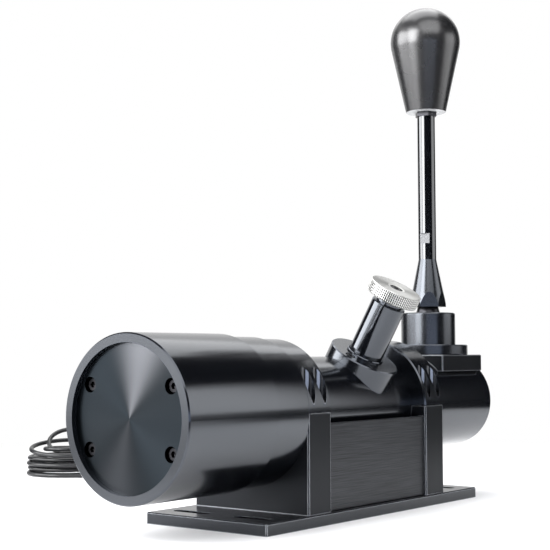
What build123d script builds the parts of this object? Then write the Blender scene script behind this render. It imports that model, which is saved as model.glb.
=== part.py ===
from build123d import *
import os
from math import acos, atan2, cos, dist, pi, radians, sin, sqrt, tan

# A desk-mounted gear shifter for driving simulators. A lever on a ball pivot works a
# selector shaft inside a long tube; the tube stands on two split clamps on a base plate,
# and a drum on its front end holds the gate that the shaft's pin runs in.
# Millimetres. +X is the driver's right, +Y runs along the tube towards the lever and +Z
# is up. The origin is the middle of the base plate's underside.

# Fits and cuts
fit = 0.05
running = 0.08
free_gap = 0.3
overrun = 3.0

# Base plate
base_margin = 1.7
base_length = 217.4
base_thickness = 6.4
base_edge = 0.6
slot_width = 7.0
slot_length = 25.0
slot_centre = 21.4
slot_inset = 14.5

# Tube that carries the lever and the drum
axis_height = 54.0
tube_radius = 30.0
tube_wall = 6.0
tube_front = -104.0
tube_rear = 153.8
tube_edge = 1.6

# Stands, clamp caps and their cap screws
clamp_wall = 10.0
stand_depth = 21.0
front_stand_middle = -59.9
rear_stand_middle = 60.5
split_gap = 0.5
stand_edge = 0.8
clamp_screw = 4.0
clamp_screw_reach = 5.7
clamp_screw_spacing = 10.4
clamp_screw_seat = 3.0
clamp_screw_grip = 12.0
foot_screw = 4.0
foot_screw_sunk = 0.4
foot_screw_grip = 12.0

# Cap screw proportions, as shares of the thread's diameter, and the foot screws' places, as
# shares of half the stand's width
foot_place_shares = (-0.8, -0.325, 0.325, 0.8)
head_radius_share = 0.875
head_height_share = 1.0
socket_share = 0.75
socket_depth_share = 0.5
pocket_gap = 0.5

# Side panels, held in grooves of the stands
panel_thickness = 3.0
panel_inset = 2.0
panel_drop = 6.4
panel_tongue = 2.0
panel_edge = 0.4

# Drum on the front end
cup_step = 1.5
cup_front = -167.7
cup_rear = -98.2
rim_width = 5.0
rim_edge = 0.7
recess_depth = 3.3
disc_thickness = 7.0
flange_thickness = 10.0
flange_bore = 26.0
ring_wall = 11.0
spigot_length = 10.0
disc_screw = 4.0
disc_screw_inset = 5.446
disc_screw_angle = 30.565
disc_screw_grip = 9.0
disc_screw_sunk = 1.8

# Ball pivot of the lever
lever_y = 121.5
pivot_rise = 16.6
pivot_ball_radius = 12.5
sway_limit = 6.0
shift_limit = 9.0
cross_pin_radius = 2.0
cross_pin_reach = 16.2
pin_edge = 0.3

# Saddle block, flange and collar under the lever
block_width = 52.0
block_skirt = 9.8
block_cover = 0.8
block_edge = 0.5
throat_radius = 12.0
lever_flange_radius = 26.2
lever_flange_height = 6.7
flange_floor = 3.0
block_screw = 4.0
block_screw_ring = 22.0
block_screw_grip = 11.5
block_screw_sunk = 0.6
collar_radius = 18.15
collar_height = 21.5
collar_edge = 1.2
collar_bore = 15.0
collar_spigot = 16.5
collar_lip = 3.8
collar_mouth = 11.5
seat_split = 4.6
seat_mouth = 8.5
seat_drop = 0.1

# Lever: neck, tapered hexagon base, rod and knob
neck_sunk = 0.8
neck_bottom_radius = 8.3
neck_top_radius = 6.9
stem_radius = 6.0
cone_gap = 4.1
cone_shoulder_height = 0.6
cone_radius = 12.4
cone_height = 32.0
cone_flats = 21.0
cone_twist = 35.7
lever_twist = 11.75
rod_radius = 6.0
rod_length = 97.9
rod_flats = 10.0
rod_flat_start = 10.9
rod_flat_length = 6.9
stud_radius = 4.0
stud_length = 15.0
nut_flats = 13.0
nut_height = 3.1
knob_bottom_radius = 13.5
knob_ball_radius = 23.6
knob_ball_height = 48.2
knob_edge = 0.5
insert_radius = 6.0
insert_length = 20.0

# Lever's lower arm and the yoke on the selector shaft
arm_top_radius = 5.0
arm_end_radius = 3.2
arm_taper_rise = 6.6
arm_ball_radius = 4.9
arm_ball_sunk = 4.0
shaft_radius = 8.0
shaft_front = -138.0
shaft_rear = 142.5
yoke_length = 16.0
yoke_radius = 13.0
yoke_boss_width = 16.0
yoke_boss_gap = 5.0
yoke_hole_floor = 9.3
yoke_hole_gap = 0.25
set_screw = 4.0

# Bushes and the rear plug of the tube
front_bush_length = 16.0
rear_bush_front = 136.0
rear_bush_length = 11.0
plug_thickness = 5.8
plug_edge = 1.0
plug_hole_radius = 1.5
plug_hole_ring = 14.0

# Gate ring and the pin that runs in it
gate_ring_wall = 5.4
gate_pin_radius = 2.0
gate_pin_gap = 1.0
gate_turn = 12.2
gate_hub_radius = 14.0
gate_hub_length = 12.0
magnet_radius = 5.0
magnet_length = 3.0
centring_coil_radius = 11.0
centring_wire_radius = 0.8
centring_pitch = 1.9
centring_turns = 5

# Resistance adjuster on the tube
adjuster_y = 17.6
adjuster_lean = 29.8
saddle_radius = 21.4
saddle_height = 5.4
saddle_edge = 0.6
saddle_screw = 3.0
saddle_screw_offset = 15.3
saddle_screw_grip = 6.9
barrel_radius = 10.4
barrel_height = 35.1
barrel_foot_gap = 1.0
barrel_bore = 6.1
barrel_edge = 0.5
barrel_roof = 4.0
barrel_neck_radius = 8.0
barrel_neck_height = 3.2
barrel_ring_radius = 11.5
barrel_ring_height = 1.2
dial_radius = 15.8
dial_height = 7.3
dial_edge = 0.4
spindle_radius = 3.0
spindle_reach = 4.0
spindle_flange_radius = 5.7
spindle_flange_height = 2.2
dial_screw = 4.0
dial_screw_grip = 4.0
dial_screw_sunk = 0.5
dial_web = 1.3
plunger_head_radius = 6.0
plunger_spring_length = 14.0
spring_seat_height = 8.0
plunger_head_height = 9.0
plunger_step = 2.0
plunger_tip_radius = 4.0
plunger_wire_radius = 0.6
plunger_coil_radius = 4.6
plunger_coil_turns = 6
sleeve_length = 36.0
sleeve_track_depth = 4.3
shaft_collar_radius = 14.0
shaft_collar_length = 8.0

# Sensor board in the drum, controller board under the tube, and the wire between them
board_thickness = 1.6
sensor_board_radius = 23.5
sensor_post_radius = 2.5
sensor_post_length = 5.4
sensor_post_ring = 19.0
chip_length = 4.0
chip_width = 3.0
chip_height = 1.2
chip_ring = 12.0
sensor_socket_width = 8.0
sensor_socket_height = 2.0
controller_length = 70.0
controller_width = 44.0
controller_y = -5.0
controller_post_height = 5.0
controller_post_inset = 4.0
controller_chip_width = 12.0
controller_socket_height = 5.0
wire_radius = 1.5
wire_inset = 3.2
wire_bend = 6.0
wire_turn_y = -36.0
wire_hole_radius = 4.0

# Cable: gland, free lead, coil, tail and plug
cable_radius = 1.6
gland_y = 20.0
gland_height = 10.6
gland_flange_radius = 6.0
gland_flange_height = 2.5
gland_body_radius = 4.2
gland_nut_radius = 6.5
gland_nut_height = 3.0
relief_length = 12.0
relief_radius = 3.2
relief_end_radius = 2.2
coil_centre = (-286.0, 60.0)
coil_bearing = 127.75
coil_outer = 31.0
coil_pitch = 3.8
coil_rise = 3.75
coil_points = 72
bend_share = 0.45
loose_loops = (
    (-31.0, 16.6),
    (24.0, 24.5),
    (-12.0, 17.2),
    (14.0, 33.5),
    (-19.0, 20.2),
    (16.0, 18.9),
)
lead_route = (
    (-74.0, 20.0, 17.0),
    (-100.0, 24.0, 6.0),
    (-128.0, 33.0, 1.6),
    (-168.0, 52.0, 1.6),
    (-212.0, 66.0, 1.6),
    (-246.0, 51.75, 1.6),
)
tail_route = (
    (-270.3, 92.4, 18.9),
    (-249.7, 108.3, 5.9),
    (-230.7, 123.0, 1.6),
    (-205.1, 134.4, 1.6),
    (-179.1, 156.3, 1.6),
    (-164.4, 175.2, 4.0),
)
plug_width = 15.0
plug_height = 8.0
plug_length = 22.0
plug_corner = 1.5
shell_width = 12.0
shell_height = 4.5
shell_length = 12.0
shell_wall = 0.5
plug_bearing = 52.0
plug_run = 16.0

# Places worked out from the sizes above
axis_z = base_thickness + axis_height
tube_bore = tube_radius - tube_wall
tube_top = axis_z + tube_radius
stand_width = 2 * (tube_radius + clamp_wall)
foot_screw_places = [share * stand_width / 2 for share in foot_place_shares]
clamp_screw_offset = tube_radius + clamp_screw_reach
base_width = stand_width + 2 * base_margin
ring_radius = tube_radius + ring_wall
cup_radius = ring_radius + cup_step
cup_bore = cup_radius - rim_width
disc_screw_ring = cup_bore - disc_screw_inset
disc_screw_x = disc_screw_ring * cos(radians(disc_screw_angle))
disc_screw_z = disc_screw_ring * sin(radians(disc_screw_angle))
disc_front = cup_front + recess_depth
disc_rear = disc_front + disc_thickness
chamber_front = disc_rear + flange_thickness
spigot_front = cup_rear - spigot_length
ring_rear = front_stand_middle - stand_depth / 2
gate_y = (chamber_front + spigot_front) / 2
gate_pin_tip = cup_bore - gate_pin_gap
pivot_z = tube_top + pivot_rise
block_bottom = tube_top - block_skirt
block_top = tube_top + block_cover
lever_flange_top = block_top + lever_flange_height
collar_top = lever_flange_top + collar_height
neck_bottom = collar_top - neck_sunk
cone_bottom = collar_top + cone_gap
cone_shoulder = cone_bottom + cone_shoulder_height
cone_top = cone_bottom + cone_height
rod_top = cone_top + rod_length
rod_flat_bottom = cone_top + rod_flat_start
rod_flat_top = rod_flat_bottom + rod_flat_length
knob_bottom = rod_top + nut_height
knob_ball_z = knob_bottom + knob_ball_height
yoke_boss_height = tube_bore - yoke_boss_gap
arm_ball_height = yoke_boss_height - arm_ball_sunk
arm_taper_bottom = axis_z + arm_ball_height + arm_taper_rise
arm_length = pivot_z - axis_z - arm_ball_height
stroke = arm_length * radians(shift_limit)
saddle_top = tube_radius + saddle_height
barrel_foot = tube_bore + barrel_foot_gap
barrel_top = saddle_top + barrel_height
barrel_neck_top = barrel_top + barrel_neck_height
dial_bottom = barrel_neck_top + free_gap
dial_top = dial_bottom + dial_height
plunger_shoulder = barrel_foot + plunger_step
plunger_top = plunger_shoulder + plunger_head_height
spring_seat_bottom = plunger_top + plunger_spring_length
spindle_foot = spring_seat_bottom - spindle_reach
sleeve_track_floor = tube_bore - sleeve_track_depth
wire_drop = tube_bore - wire_inset
gland_z = base_thickness + gland_height
bay_front = front_stand_middle + stand_depth / 2
bay_rear = rear_stand_middle - stand_depth / 2
panel_face = stand_width / 2 - panel_inset
stand_places = {"front": front_stand_middle, "rear": rear_stand_middle}


def facing(y):
    """A plane across the tube at y: local x to the right, local y up, extruding forwards."""
    return Plane(origin=(0, y, axis_z), x_dir=(1, 0, 0), z_dir=(0, -1, 0))


def level(z, x=0, y=0):
    """A level plane at height z over the point x, y."""
    return Plane(origin=(x, y, z))


def leaning(distance):
    """A plane across the adjuster's axis, at a distance from the tube's axis."""
    lean = radians(adjuster_lean)
    outward = Vector(sin(lean), 0, cos(lean))
    start = Vector(0, adjuster_y, axis_z) + outward * distance
    return Plane(origin=start, x_dir=(0, 1, 0), z_dir=outward)


def ring(plane, outer, inner, length):
    """Add a round ring, or a disc where the inner radius is nought."""
    with BuildSketch(plane) as outline:
        Circle(outer)
        if inner:
            Circle(inner, mode=Mode.SUBTRACT)
    extrude(outline.sketch, amount=length)


def bore(plane, radius, length, places=((0, 0),)):
    """Cut round holes from a plane along its normal."""
    with BuildSketch(plane) as outline:
        with Locations(*places):
            Circle(radius)
    extrude(outline.sketch, amount=length, mode=Mode.SUBTRACT)


def cap_screws(plane, places, thread, grip):
    """Add socket cap screws whose heads sit on a plane and whose threads go down from it."""
    head = thread * head_height_share
    with BuildSketch(plane) as heads:
        with Locations(*places):
            Circle(thread * head_radius_share)
    extrude(heads.sketch, amount=head)
    with BuildSketch(plane) as shanks:
        with Locations(*places):
            Circle(thread / 2)
    extrude(shanks.sketch, amount=-grip)
    with BuildSketch(plane.offset(head)) as sockets:
        with Locations(*places):
            RegularPolygon(thread * socket_share / 2, 6, major_radius=False)
    extrude(sockets.sketch, amount=-thread * socket_depth_share, mode=Mode.SUBTRACT)


def keep(piece, name):
    """Label a finished piece and write it."""
    piece.part.label = name
    export_step(piece.part, f"parts/{name}.step")


os.makedirs("parts", exist_ok=True)

# The base plate: a flat bar with four cross slots for bolting it down, and counterbored
# holes underneath for the screws that hold the stands.
foot_places = [(x, y) for y in stand_places.values() for x in foot_screw_places]
foot_head_seat = foot_screw * head_height_share + foot_screw_sunk
foot_head_radius = foot_screw * head_radius_share
slot_places = [
    (side * slot_centre, end * (base_length / 2 - slot_inset))
    for side in (-1, 1)
    for end in (-1, 1)
]
with BuildPart() as base_plate:
    with BuildSketch(level(0)):
        Rectangle(base_width, base_length)
    extrude(amount=base_thickness)
    chamfer(base_plate.edges().filter_by(Axis.Z), base_edge)
    chamfer(base_plate.faces().sort_by(Axis.Z)[-1].edges(), base_edge)
    with BuildSketch(level(base_thickness)):
        with Locations(*slot_places):
            SlotOverall(slot_length, slot_width)
    extrude(amount=-base_thickness, mode=Mode.SUBTRACT)
    bore(level(0), foot_head_radius + pocket_gap, foot_head_seat, foot_places)
    bore(level(0), foot_screw / 2 + fit, base_thickness, foot_places)
keep(base_plate, "base_plate")

foot_plane = Plane(origin=(0, 0, foot_head_seat), x_dir=(1, 0, 0), z_dir=(0, 0, -1))
with BuildPart() as foot_screws:
    places = [(x, -y) for x, y in foot_places]
    cap_screws(foot_plane, places, foot_screw, foot_screw_grip)
keep(foot_screws, "foot_screws")

# Two stands, each a block with a half-round bed for the tube. The panels' grooves are in
# the faces that look at each other. The caps above close round the tube and are drawn
# down by four cap screws each, in pockets that break out of the cap's shoulder.
clamp_bore = tube_radius + fit
cap_seat = axis_z + split_gap / 2 + clamp_screw_seat
panel_top = axis_z - panel_drop
for name, middle in stand_places.items():
    rear = middle + stand_depth / 2
    inner = bay_front if name == "front" else bay_rear
    groove_side = -1 if name == "front" else 1
    clamp_places = [
        (side * clamp_screw_offset, middle + end * clamp_screw_spacing / 2)
        for side in (-1, 1)
        for end in (-1, 1)
    ]
    foot_row = [(x, middle) for x in foot_screw_places]
    with BuildPart() as stand:
        with BuildSketch(facing(rear)):
            with Locations((0, -(axis_height + split_gap / 2) / 2)):
                Rectangle(stand_width, axis_height - split_gap / 2)
        extrude(amount=stand_depth)
        chamfer(stand.edges().filter_by(Axis.Z), stand_edge)
        bore(facing(rear + overrun), clamp_bore, stand_depth + 2 * overrun)
        with BuildSketch(Plane.XY.offset(base_thickness)):
            for side in (-1, 1):
                groove_x = side * (panel_face - panel_thickness / 2)
                groove_y = inner + groove_side * (panel_tongue + fit) / 2
                with Locations((groove_x, groove_y)):
                    Rectangle(panel_thickness + 2 * fit, panel_tongue + fit)
        extrude(amount=panel_top + fit - base_thickness, mode=Mode.SUBTRACT)
        thread_way = level(axis_z - split_gap / 2 - clamp_screw_grip)
        bore(thread_way, clamp_screw / 2 + fit, clamp_screw_grip + overrun, clamp_places)
        foot_way = foot_screw_grip + foot_head_seat - base_thickness + overrun
        bore(level(base_thickness), foot_screw / 2 + fit, foot_way, foot_row)
    keep(stand, f"{name}_stand")

    with BuildPart() as cap:
        with BuildSketch(facing(rear)):
            with BuildLine():
                base_y = split_gap / 2
                half = sqrt((stand_width / 2) ** 2 - base_y**2)
                ThreePointArc((-half, base_y), (0, stand_width / 2), (half, base_y))
                Line((half, base_y), (-half, base_y))
            make_face()
        extrude(amount=stand_depth)
        crown = cap.edges().filter_by(GeomType.CIRCLE)
        chamfer(crown, stand_edge)
        bore(facing(rear + overrun), clamp_bore, stand_depth + 2 * overrun)
        pocket_radius = clamp_screw * head_radius_share + pocket_gap
        bore(level(cap_seat), pocket_radius, stand_width / 2, clamp_places)
        bore(level(axis_z), clamp_screw / 2 + fit, stand_width / 2, clamp_places)
    keep(cap, f"{name}_clamp_cap")

with BuildPart() as clamp_screws:
    grip = cap_seat - axis_z + clamp_screw_grip - split_gap
    for middle in stand_places.values():
        row_places = [
            (side * clamp_screw_offset, middle + end * clamp_screw_spacing / 2)
            for side in (-1, 1)
            for end in (-1, 1)
        ]
        cap_screws(level(cap_seat), row_places, clamp_screw, grip)
keep(clamp_screws, "clamp_screws")

# Side panels: brushed plates that close the bay between the stands. The left one has the
# hole for the cable's gland.
bay_length = bay_rear - bay_front
bay_middle = (bay_rear + bay_front) / 2
panel_height = panel_top - base_thickness
for name, side in (("right", 1), ("left", -1)):
    with BuildPart() as panel:
        with BuildSketch(level(base_thickness)):
            with Locations((side * (panel_face - panel_thickness / 2), bay_middle)):
                Rectangle(panel_thickness, bay_length + 2 * panel_tongue)
        extrude(amount=panel_height)
        face = panel.faces().sort_by(Axis.X)[-1 if side > 0 else 0]
        chamfer(face.edges(), panel_edge)
        if side < 0:
            outward = Plane(origin=(-panel_face, gland_y, gland_z), z_dir=(1, 0, 0))
            bore(outward, gland_body_radius + fit, panel_thickness)
    keep(panel, f"{name}_side_panel")

# The tube, with its openings: the adjuster's barrel, the lever, the wire, and the tapped
# holes for the saddle's and the block's screws.
saddle_places = [(side * saddle_screw_offset, 0) for side in (-1, 1)]
block_place = block_screw_ring / sqrt(2)
block_places = [(i * block_place, j * block_place) for i in (-1, 1) for j in (-1, 1)]
with BuildPart() as centre_tube:
    ring(facing(tube_rear), tube_radius, 0, tube_rear - tube_front)
    chamfer(centre_tube.faces().sort_by(Axis.Y)[-1].edges(), tube_edge)
    bore(facing(tube_rear), tube_bore, tube_rear - tube_front)
    bore(leaning(0), barrel_radius + fit, tube_radius + overrun)
    bore(leaning(barrel_foot), saddle_screw / 2 + fit, tube_wall + overrun, saddle_places)
    bore(level(axis_z, 0, lever_y), throat_radius, tube_radius + overrun)
    bore(level(axis_z, 0, lever_y), block_screw / 2 + fit, tube_radius, block_places)
    wire_down = wire_turn_y + wire_bend
    bore(level(axis_z - tube_radius - overrun, 0, wire_down), wire_hole_radius, tube_radius)
keep(centre_tube, "centre_tube")

with BuildPart() as rear_plug:
    ring(facing(tube_rear), tube_bore - fit, 0, plug_thickness)
    chamfer(rear_plug.faces().sort_by(Axis.Y)[-1].edges(), plug_edge)
    hole_places = [(-plug_hole_ring, 0), (plug_hole_ring, 0)]
    bore(facing(tube_rear), plug_hole_radius, plug_thickness / 2, hole_places)
keep(rear_plug, "rear_plug")

# Two bushes carry the selector shaft. The front one also lets the sensor's wire through.
with BuildPart() as shaft_bushes:
    front_bush_plane = facing(tube_front + front_bush_length)
    ring(front_bush_plane, tube_bore - fit, shaft_radius + running, front_bush_length)
    bore(front_bush_plane, wire_radius + fit, front_bush_length, [(0, -wire_drop)])
    rear_bush_plane = facing(rear_bush_front + rear_bush_length)
    ring(rear_bush_plane, tube_bore - fit, shaft_radius + running, rear_bush_length)
keep(shaft_bushes, "shaft_bushes")

# The drum: a ring on the tube's front end, a cup that slips over the ring's spigot, and a
# turned end disc held by four sunk cap screws.
with BuildPart() as drum_ring:
    ring(facing(ring_rear), ring_radius, 0, ring_rear - cup_rear)
    chamfer(drum_ring.edges().filter_by(GeomType.CIRCLE), rim_edge)
    ring(facing(cup_rear), cup_bore - fit, 0, spigot_length)
    bore(facing(ring_rear), tube_radius + fit, ring_rear - spigot_front)
keep(drum_ring, "drum_ring")

disc_places = [(i * disc_screw_x, j * disc_screw_z) for i in (-1, 1) for j in (-1, 1)]
disc_seat = disc_front + disc_screw * head_height_share + disc_screw_sunk
with BuildPart() as drum_cup:
    ring(facing(cup_rear), cup_radius, 0, cup_rear - cup_front)
    chamfer(drum_cup.edges().filter_by(GeomType.CIRCLE), rim_edge)
    bore(facing(cup_rear), cup_bore, cup_rear - chamber_front)
    bore(facing(chamber_front), flange_bore, flange_thickness)
    bore(facing(disc_rear), cup_bore, disc_thickness + recess_depth)
    bore(facing(disc_rear + disc_screw_grip), disc_screw / 2 + fit, disc_screw_grip, disc_places)
keep(drum_cup, "drum_cup")

with BuildPart() as end_disc:
    ring(facing(disc_rear), cup_bore - fit, 0, disc_thickness)
    bore(facing(disc_rear), disc_screw / 2 + fit, disc_thickness, disc_places)
    head_radius = disc_screw * head_radius_share + pocket_gap
    bore(facing(disc_seat), head_radius, disc_seat - disc_front, disc_places)
keep(end_disc, "end_disc")

with BuildPart() as end_disc_screws:
    cap_screws(facing(disc_seat), disc_places, disc_screw, disc_screw_grip)
keep(end_disc_screws, "end_disc_screws")

# The gate ring sits in the drum between the cup's flange and the ring's spigot. Three
# lanes along the tube join one cross slot, and the shaft's pin runs in them.
gate_slot = 2 * (gate_pin_radius + free_gap)
gate_lane = 2 * stroke + gate_slot
gate_inner = cup_bore - fit - gate_ring_wall
with BuildPart() as gate_ring:
    ring(facing(spigot_front), cup_bore - fit, gate_inner, spigot_front - chamber_front)
    for turn in (-gate_turn, 0, gate_turn):
        lane_plane = Plane(origin=(0, gate_y, axis_z), x_dir=(1, 0, 0), z_dir=(0, 0, 1))
        with BuildSketch(lane_plane.rotated((0, turn, 0))) as lane:
            Rectangle(gate_slot, gate_lane)
        extrude(lane.sketch, amount=cup_radius, mode=Mode.SUBTRACT)
    start = Plane(origin=(0, gate_y, axis_z), x_dir=(0, 0, 1), z_dir=(-1, 0, 0))
    with BuildSketch(start.rotated((0, -gate_turn, 0))) as cross_slot:
        with Locations(((gate_inner + cup_radius) / 2, 0)):
            Rectangle(cup_radius - gate_inner + overrun, gate_slot)
    tube_line = Axis((0, 0, axis_z), (0, 1, 0))
    revolve(cross_slot.sketch, tube_line, 2 * gate_turn, mode=Mode.SUBTRACT)
keep(gate_ring, "gate_ring")

# The lever's seat. A square saddle block is cut to the tube, a round flange lies on it and
# takes four sunk screws down into the tube, and a round collar stands on the flange.
with BuildPart() as saddle_block:
    with BuildSketch(level(block_bottom, 0, lever_y)):
        Rectangle(block_width, block_width)
    extrude(amount=block_top - block_bottom)
    chamfer(saddle_block.edges().filter_by(Axis.Z), block_edge)
    chamfer(saddle_block.faces().sort_by(Axis.Z)[-1].edges(), block_edge)
    bore(facing(lever_y + block_width), tube_radius + fit, 2 * block_width)
    bore(level(axis_z, 0, lever_y), throat_radius, block_top - axis_z)
    bore(level(axis_z, 0, lever_y), block_screw / 2 + fit, block_top - axis_z, block_places)
keep(saddle_block, "saddle_block")

flange_seat = lever_flange_top - flange_floor
flange_screw_seat = lever_flange_top - block_screw * head_height_share - block_screw_sunk
with BuildPart() as lever_flange:
    ring(level(block_top, 0, lever_y), lever_flange_radius, 0, lever_flange_top - block_top)
    chamfer(lever_flange.edges().filter_by(GeomType.CIRCLE), block_edge)
    bore(level(block_top, 0, lever_y), throat_radius, flange_seat - block_top)
    bore(level(flange_seat, 0, lever_y), collar_spigot + fit, flange_floor)
    bore(level(block_top, 0, lever_y), block_screw / 2 + fit, flange_seat, block_places)
    head_radius = block_screw * head_radius_share + fit * 2
    bore(level(flange_screw_seat, 0, lever_y), head_radius, flange_seat, block_places)
keep(lever_flange, "lever_flange")

with BuildPart() as flange_screws:
    cap_screws(
        level(flange_screw_seat, 0, lever_y), block_places, block_screw, block_screw_grip
    )
keep(flange_screws, "flange_screws")

slot_half = cross_pin_radius + cross_pin_reach * sin(radians(sway_limit)) + free_gap
with BuildPart() as lever_collar:
    ring(level(flange_seat, 0, lever_y), collar_spigot, 0, flange_floor)
    ring(level(lever_flange_top, 0, lever_y), collar_radius, 0, collar_top - lever_flange_top)
    fillet(lever_collar.edges().sort_by(Axis.Z)[-1], collar_edge)
    bore(level(flange_seat, 0, lever_y), collar_bore, collar_top - collar_lip - flange_seat)
    bore(level(flange_seat, 0, lever_y), collar_mouth, collar_top)
    with BuildSketch(level(pivot_z - slot_half, 0, lever_y)):
        Rectangle(2 * (cross_pin_reach + free_gap), 2 * (cross_pin_radius + running))
    extrude(amount=2 * slot_half, mode=Mode.SUBTRACT)
keep(lever_collar, "lever_collar")

seat_ball = pivot_ball_radius + free_gap
pivot_plane = Plane(origin=(0, lever_y, pivot_z))
with BuildPart() as lower_ball_seat:
    seat_height = pivot_z - seat_split - flange_seat
    ring(level(flange_seat, 0, lever_y), collar_bore - fit, seat_mouth, seat_height)
    with Locations(pivot_plane):
        Sphere(seat_ball, mode=Mode.SUBTRACT)
keep(lower_ball_seat, "lower_ball_seat")

with BuildPart() as upper_ball_seat:
    seat_height = collar_top - collar_lip - seat_drop - pivot_z - seat_split
    ring(level(pivot_z + seat_split, 0, lever_y), collar_bore - fit, 0, seat_height)
    with Locations(pivot_plane):
        Sphere(seat_ball, mode=Mode.SUBTRACT)
    bore(level(pivot_z, 0, lever_y), seat_mouth, collar_top - pivot_z)
keep(upper_ball_seat, "upper_ball_seat")

# The cross pin lies in slots of the collar: it sways with the lever and keeps the lever
# from twisting. The lever nods on it.
pin_plane = Plane(origin=(-cross_pin_reach, lever_y, pivot_z), z_dir=(1, 0, 0))
with BuildPart() as cross_pin:
    ring(pin_plane, cross_pin_radius, 0, 2 * cross_pin_reach)
    chamfer(cross_pin.edges().filter_by(GeomType.CIRCLE), pin_edge)
keep(cross_pin, "cross_pin")

# The lever, from the bottom: an arm with a ball end, the pivot ball and the neck are one
# turned piece with a stud on top for the base.
arm_ball_z = axis_z + arm_ball_height
ball_exit = pivot_z - sqrt(pivot_ball_radius**2 - arm_top_radius**2)
ball_top = pivot_z + sqrt(pivot_ball_radius**2 - stem_radius**2)
arm_ball_exit = arm_ball_z + sqrt(arm_ball_radius**2 - arm_end_radius**2)
with BuildPart() as pivot_arm:
    with BuildSketch(Plane(origin=(0, lever_y, 0), x_dir=(1, 0, 0), z_dir=(0, -1, 0))):
        with BuildLine():
            Polyline(
                (0, cone_bottom + stud_length),
                (stud_radius, cone_bottom + stud_length),
                (stud_radius, cone_bottom),
                (neck_top_radius, cone_bottom),
                (neck_bottom_radius, neck_bottom),
                (stem_radius, neck_bottom),
                (stem_radius, ball_top),
            )
            ThreePointArc(
                (stem_radius, ball_top),
                (pivot_ball_radius, pivot_z),
                (arm_top_radius, ball_exit),
            )
            Polyline(
                (arm_top_radius, ball_exit),
                (arm_end_radius, arm_taper_bottom),
                (arm_end_radius, arm_ball_exit),
            )
            ThreePointArc(
                (arm_end_radius, arm_ball_exit),
                (arm_ball_radius, arm_ball_z),
                (0, arm_ball_z - arm_ball_radius),
            )
            Line((0, arm_ball_z - arm_ball_radius), (0, cone_bottom + stud_length))
        make_face()
    revolve(axis=Axis((0, lever_y, 0), (0, 0, 1)))
    cross_way = Plane(origin=(-pivot_ball_radius, lever_y, pivot_z), z_dir=(1, 0, 0))
    bore(cross_way, cross_pin_radius + running, 2 * pivot_ball_radius)
keep(pivot_arm, "pivot_arm")

# The tapered base: a cone, milled to a hexagon where it is thick.
with BuildPart() as lever_base:
    with BuildSketch(Plane(origin=(0, lever_y, 0), x_dir=(1, 0, 0), z_dir=(0, -1, 0))):
        with BuildLine():
            Polyline(
                (stud_radius + fit, cone_bottom),
                (cone_radius, cone_bottom),
                (cone_radius, cone_shoulder),
                (rod_radius, cone_top),
                (stud_radius + fit, cone_top),
                close=True,
            )
        make_face()
    revolve(axis=Axis((0, lever_y, 0), (0, 0, 1)))
    with BuildSketch(level(cone_bottom, 0, lever_y)):
        Circle(cone_radius + overrun)
        RegularPolygon(
            cone_flats / 2, 6, major_radius=False, rotation=cone_twist, mode=Mode.SUBTRACT
        )
    extrude(amount=cone_top - cone_bottom, mode=Mode.SUBTRACT)
keep(lever_base, "lever_base")

with BuildPart() as lever_rod:
    ring(level(cone_top, 0, lever_y), rod_radius, 0, rod_top - cone_top)
    flat_plane = Plane(
        origin=(0, lever_y, (rod_flat_bottom + rod_flat_top) / 2),
        x_dir=(cos(radians(lever_twist)), sin(radians(lever_twist)), 0),
    )
    with BuildSketch(flat_plane.offset(-(rod_flat_top - rod_flat_bottom) / 2)):
        for side in (-1, 1):
            with Locations((0, side * (rod_flats + rod_radius) / 2)):
                Rectangle(2 * rod_radius, rod_radius)
    extrude(amount=rod_flat_top - rod_flat_bottom, mode=Mode.SUBTRACT)
    ring(level(cone_top - stud_length, 0, lever_y), stud_radius, 0, stud_length)
    ring(level(rod_top, 0, lever_y), stud_radius, 0, stud_length)
keep(lever_rod, "lever_rod")

with BuildPart() as lock_nut:
    with BuildSketch(level(rod_top, 0, lever_y)):
        RegularPolygon(nut_flats / 2, 6, major_radius=False, rotation=lever_twist)
        Circle(stud_radius + fit, mode=Mode.SUBTRACT)
    extrude(amount=knob_bottom - rod_top)
keep(lock_nut, "lock_nut")

# The knob: a ball drawn down by a straight taper that meets it smoothly, with a threaded
# insert let into its foot.
foot_reach = sqrt(knob_bottom_radius**2 + (knob_ball_z - knob_bottom) ** 2)
foot_angle = atan2(knob_ball_z - knob_bottom, knob_bottom_radius)
touch_angle = acos(knob_ball_radius / foot_reach) - foot_angle
touch = (
    knob_ball_radius * cos(touch_angle),
    knob_ball_z + knob_ball_radius * sin(touch_angle),
)
crown_angle = radians(45)
crown = (
    knob_ball_radius * cos(crown_angle),
    knob_ball_z + knob_ball_radius * sin(crown_angle),
)
knob_top = knob_ball_z + knob_ball_radius
with BuildPart() as shift_knob:
    with BuildSketch(Plane(origin=(0, lever_y, 0), x_dir=(1, 0, 0), z_dir=(0, -1, 0))):
        with BuildLine():
            Line((0, knob_bottom), (knob_bottom_radius, knob_bottom))
            Line((knob_bottom_radius, knob_bottom), touch)
            ThreePointArc(touch, crown, (0, knob_top))
            Line((0, knob_top), (0, knob_bottom))
        make_face()
    revolve(axis=Axis((0, lever_y, 0), (0, 0, 1)))
    fillet(shift_knob.edges().sort_by(Axis.Z)[0], knob_edge)
    bore(level(knob_bottom, 0, lever_y), insert_radius + fit, insert_length + fit)
keep(shift_knob, "shift_knob")

with BuildPart() as knob_insert:
    insert_plane = level(knob_bottom, 0, lever_y)
    ring(insert_plane, insert_radius, stud_radius + fit, insert_length)
keep(knob_insert, "knob_insert")

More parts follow.
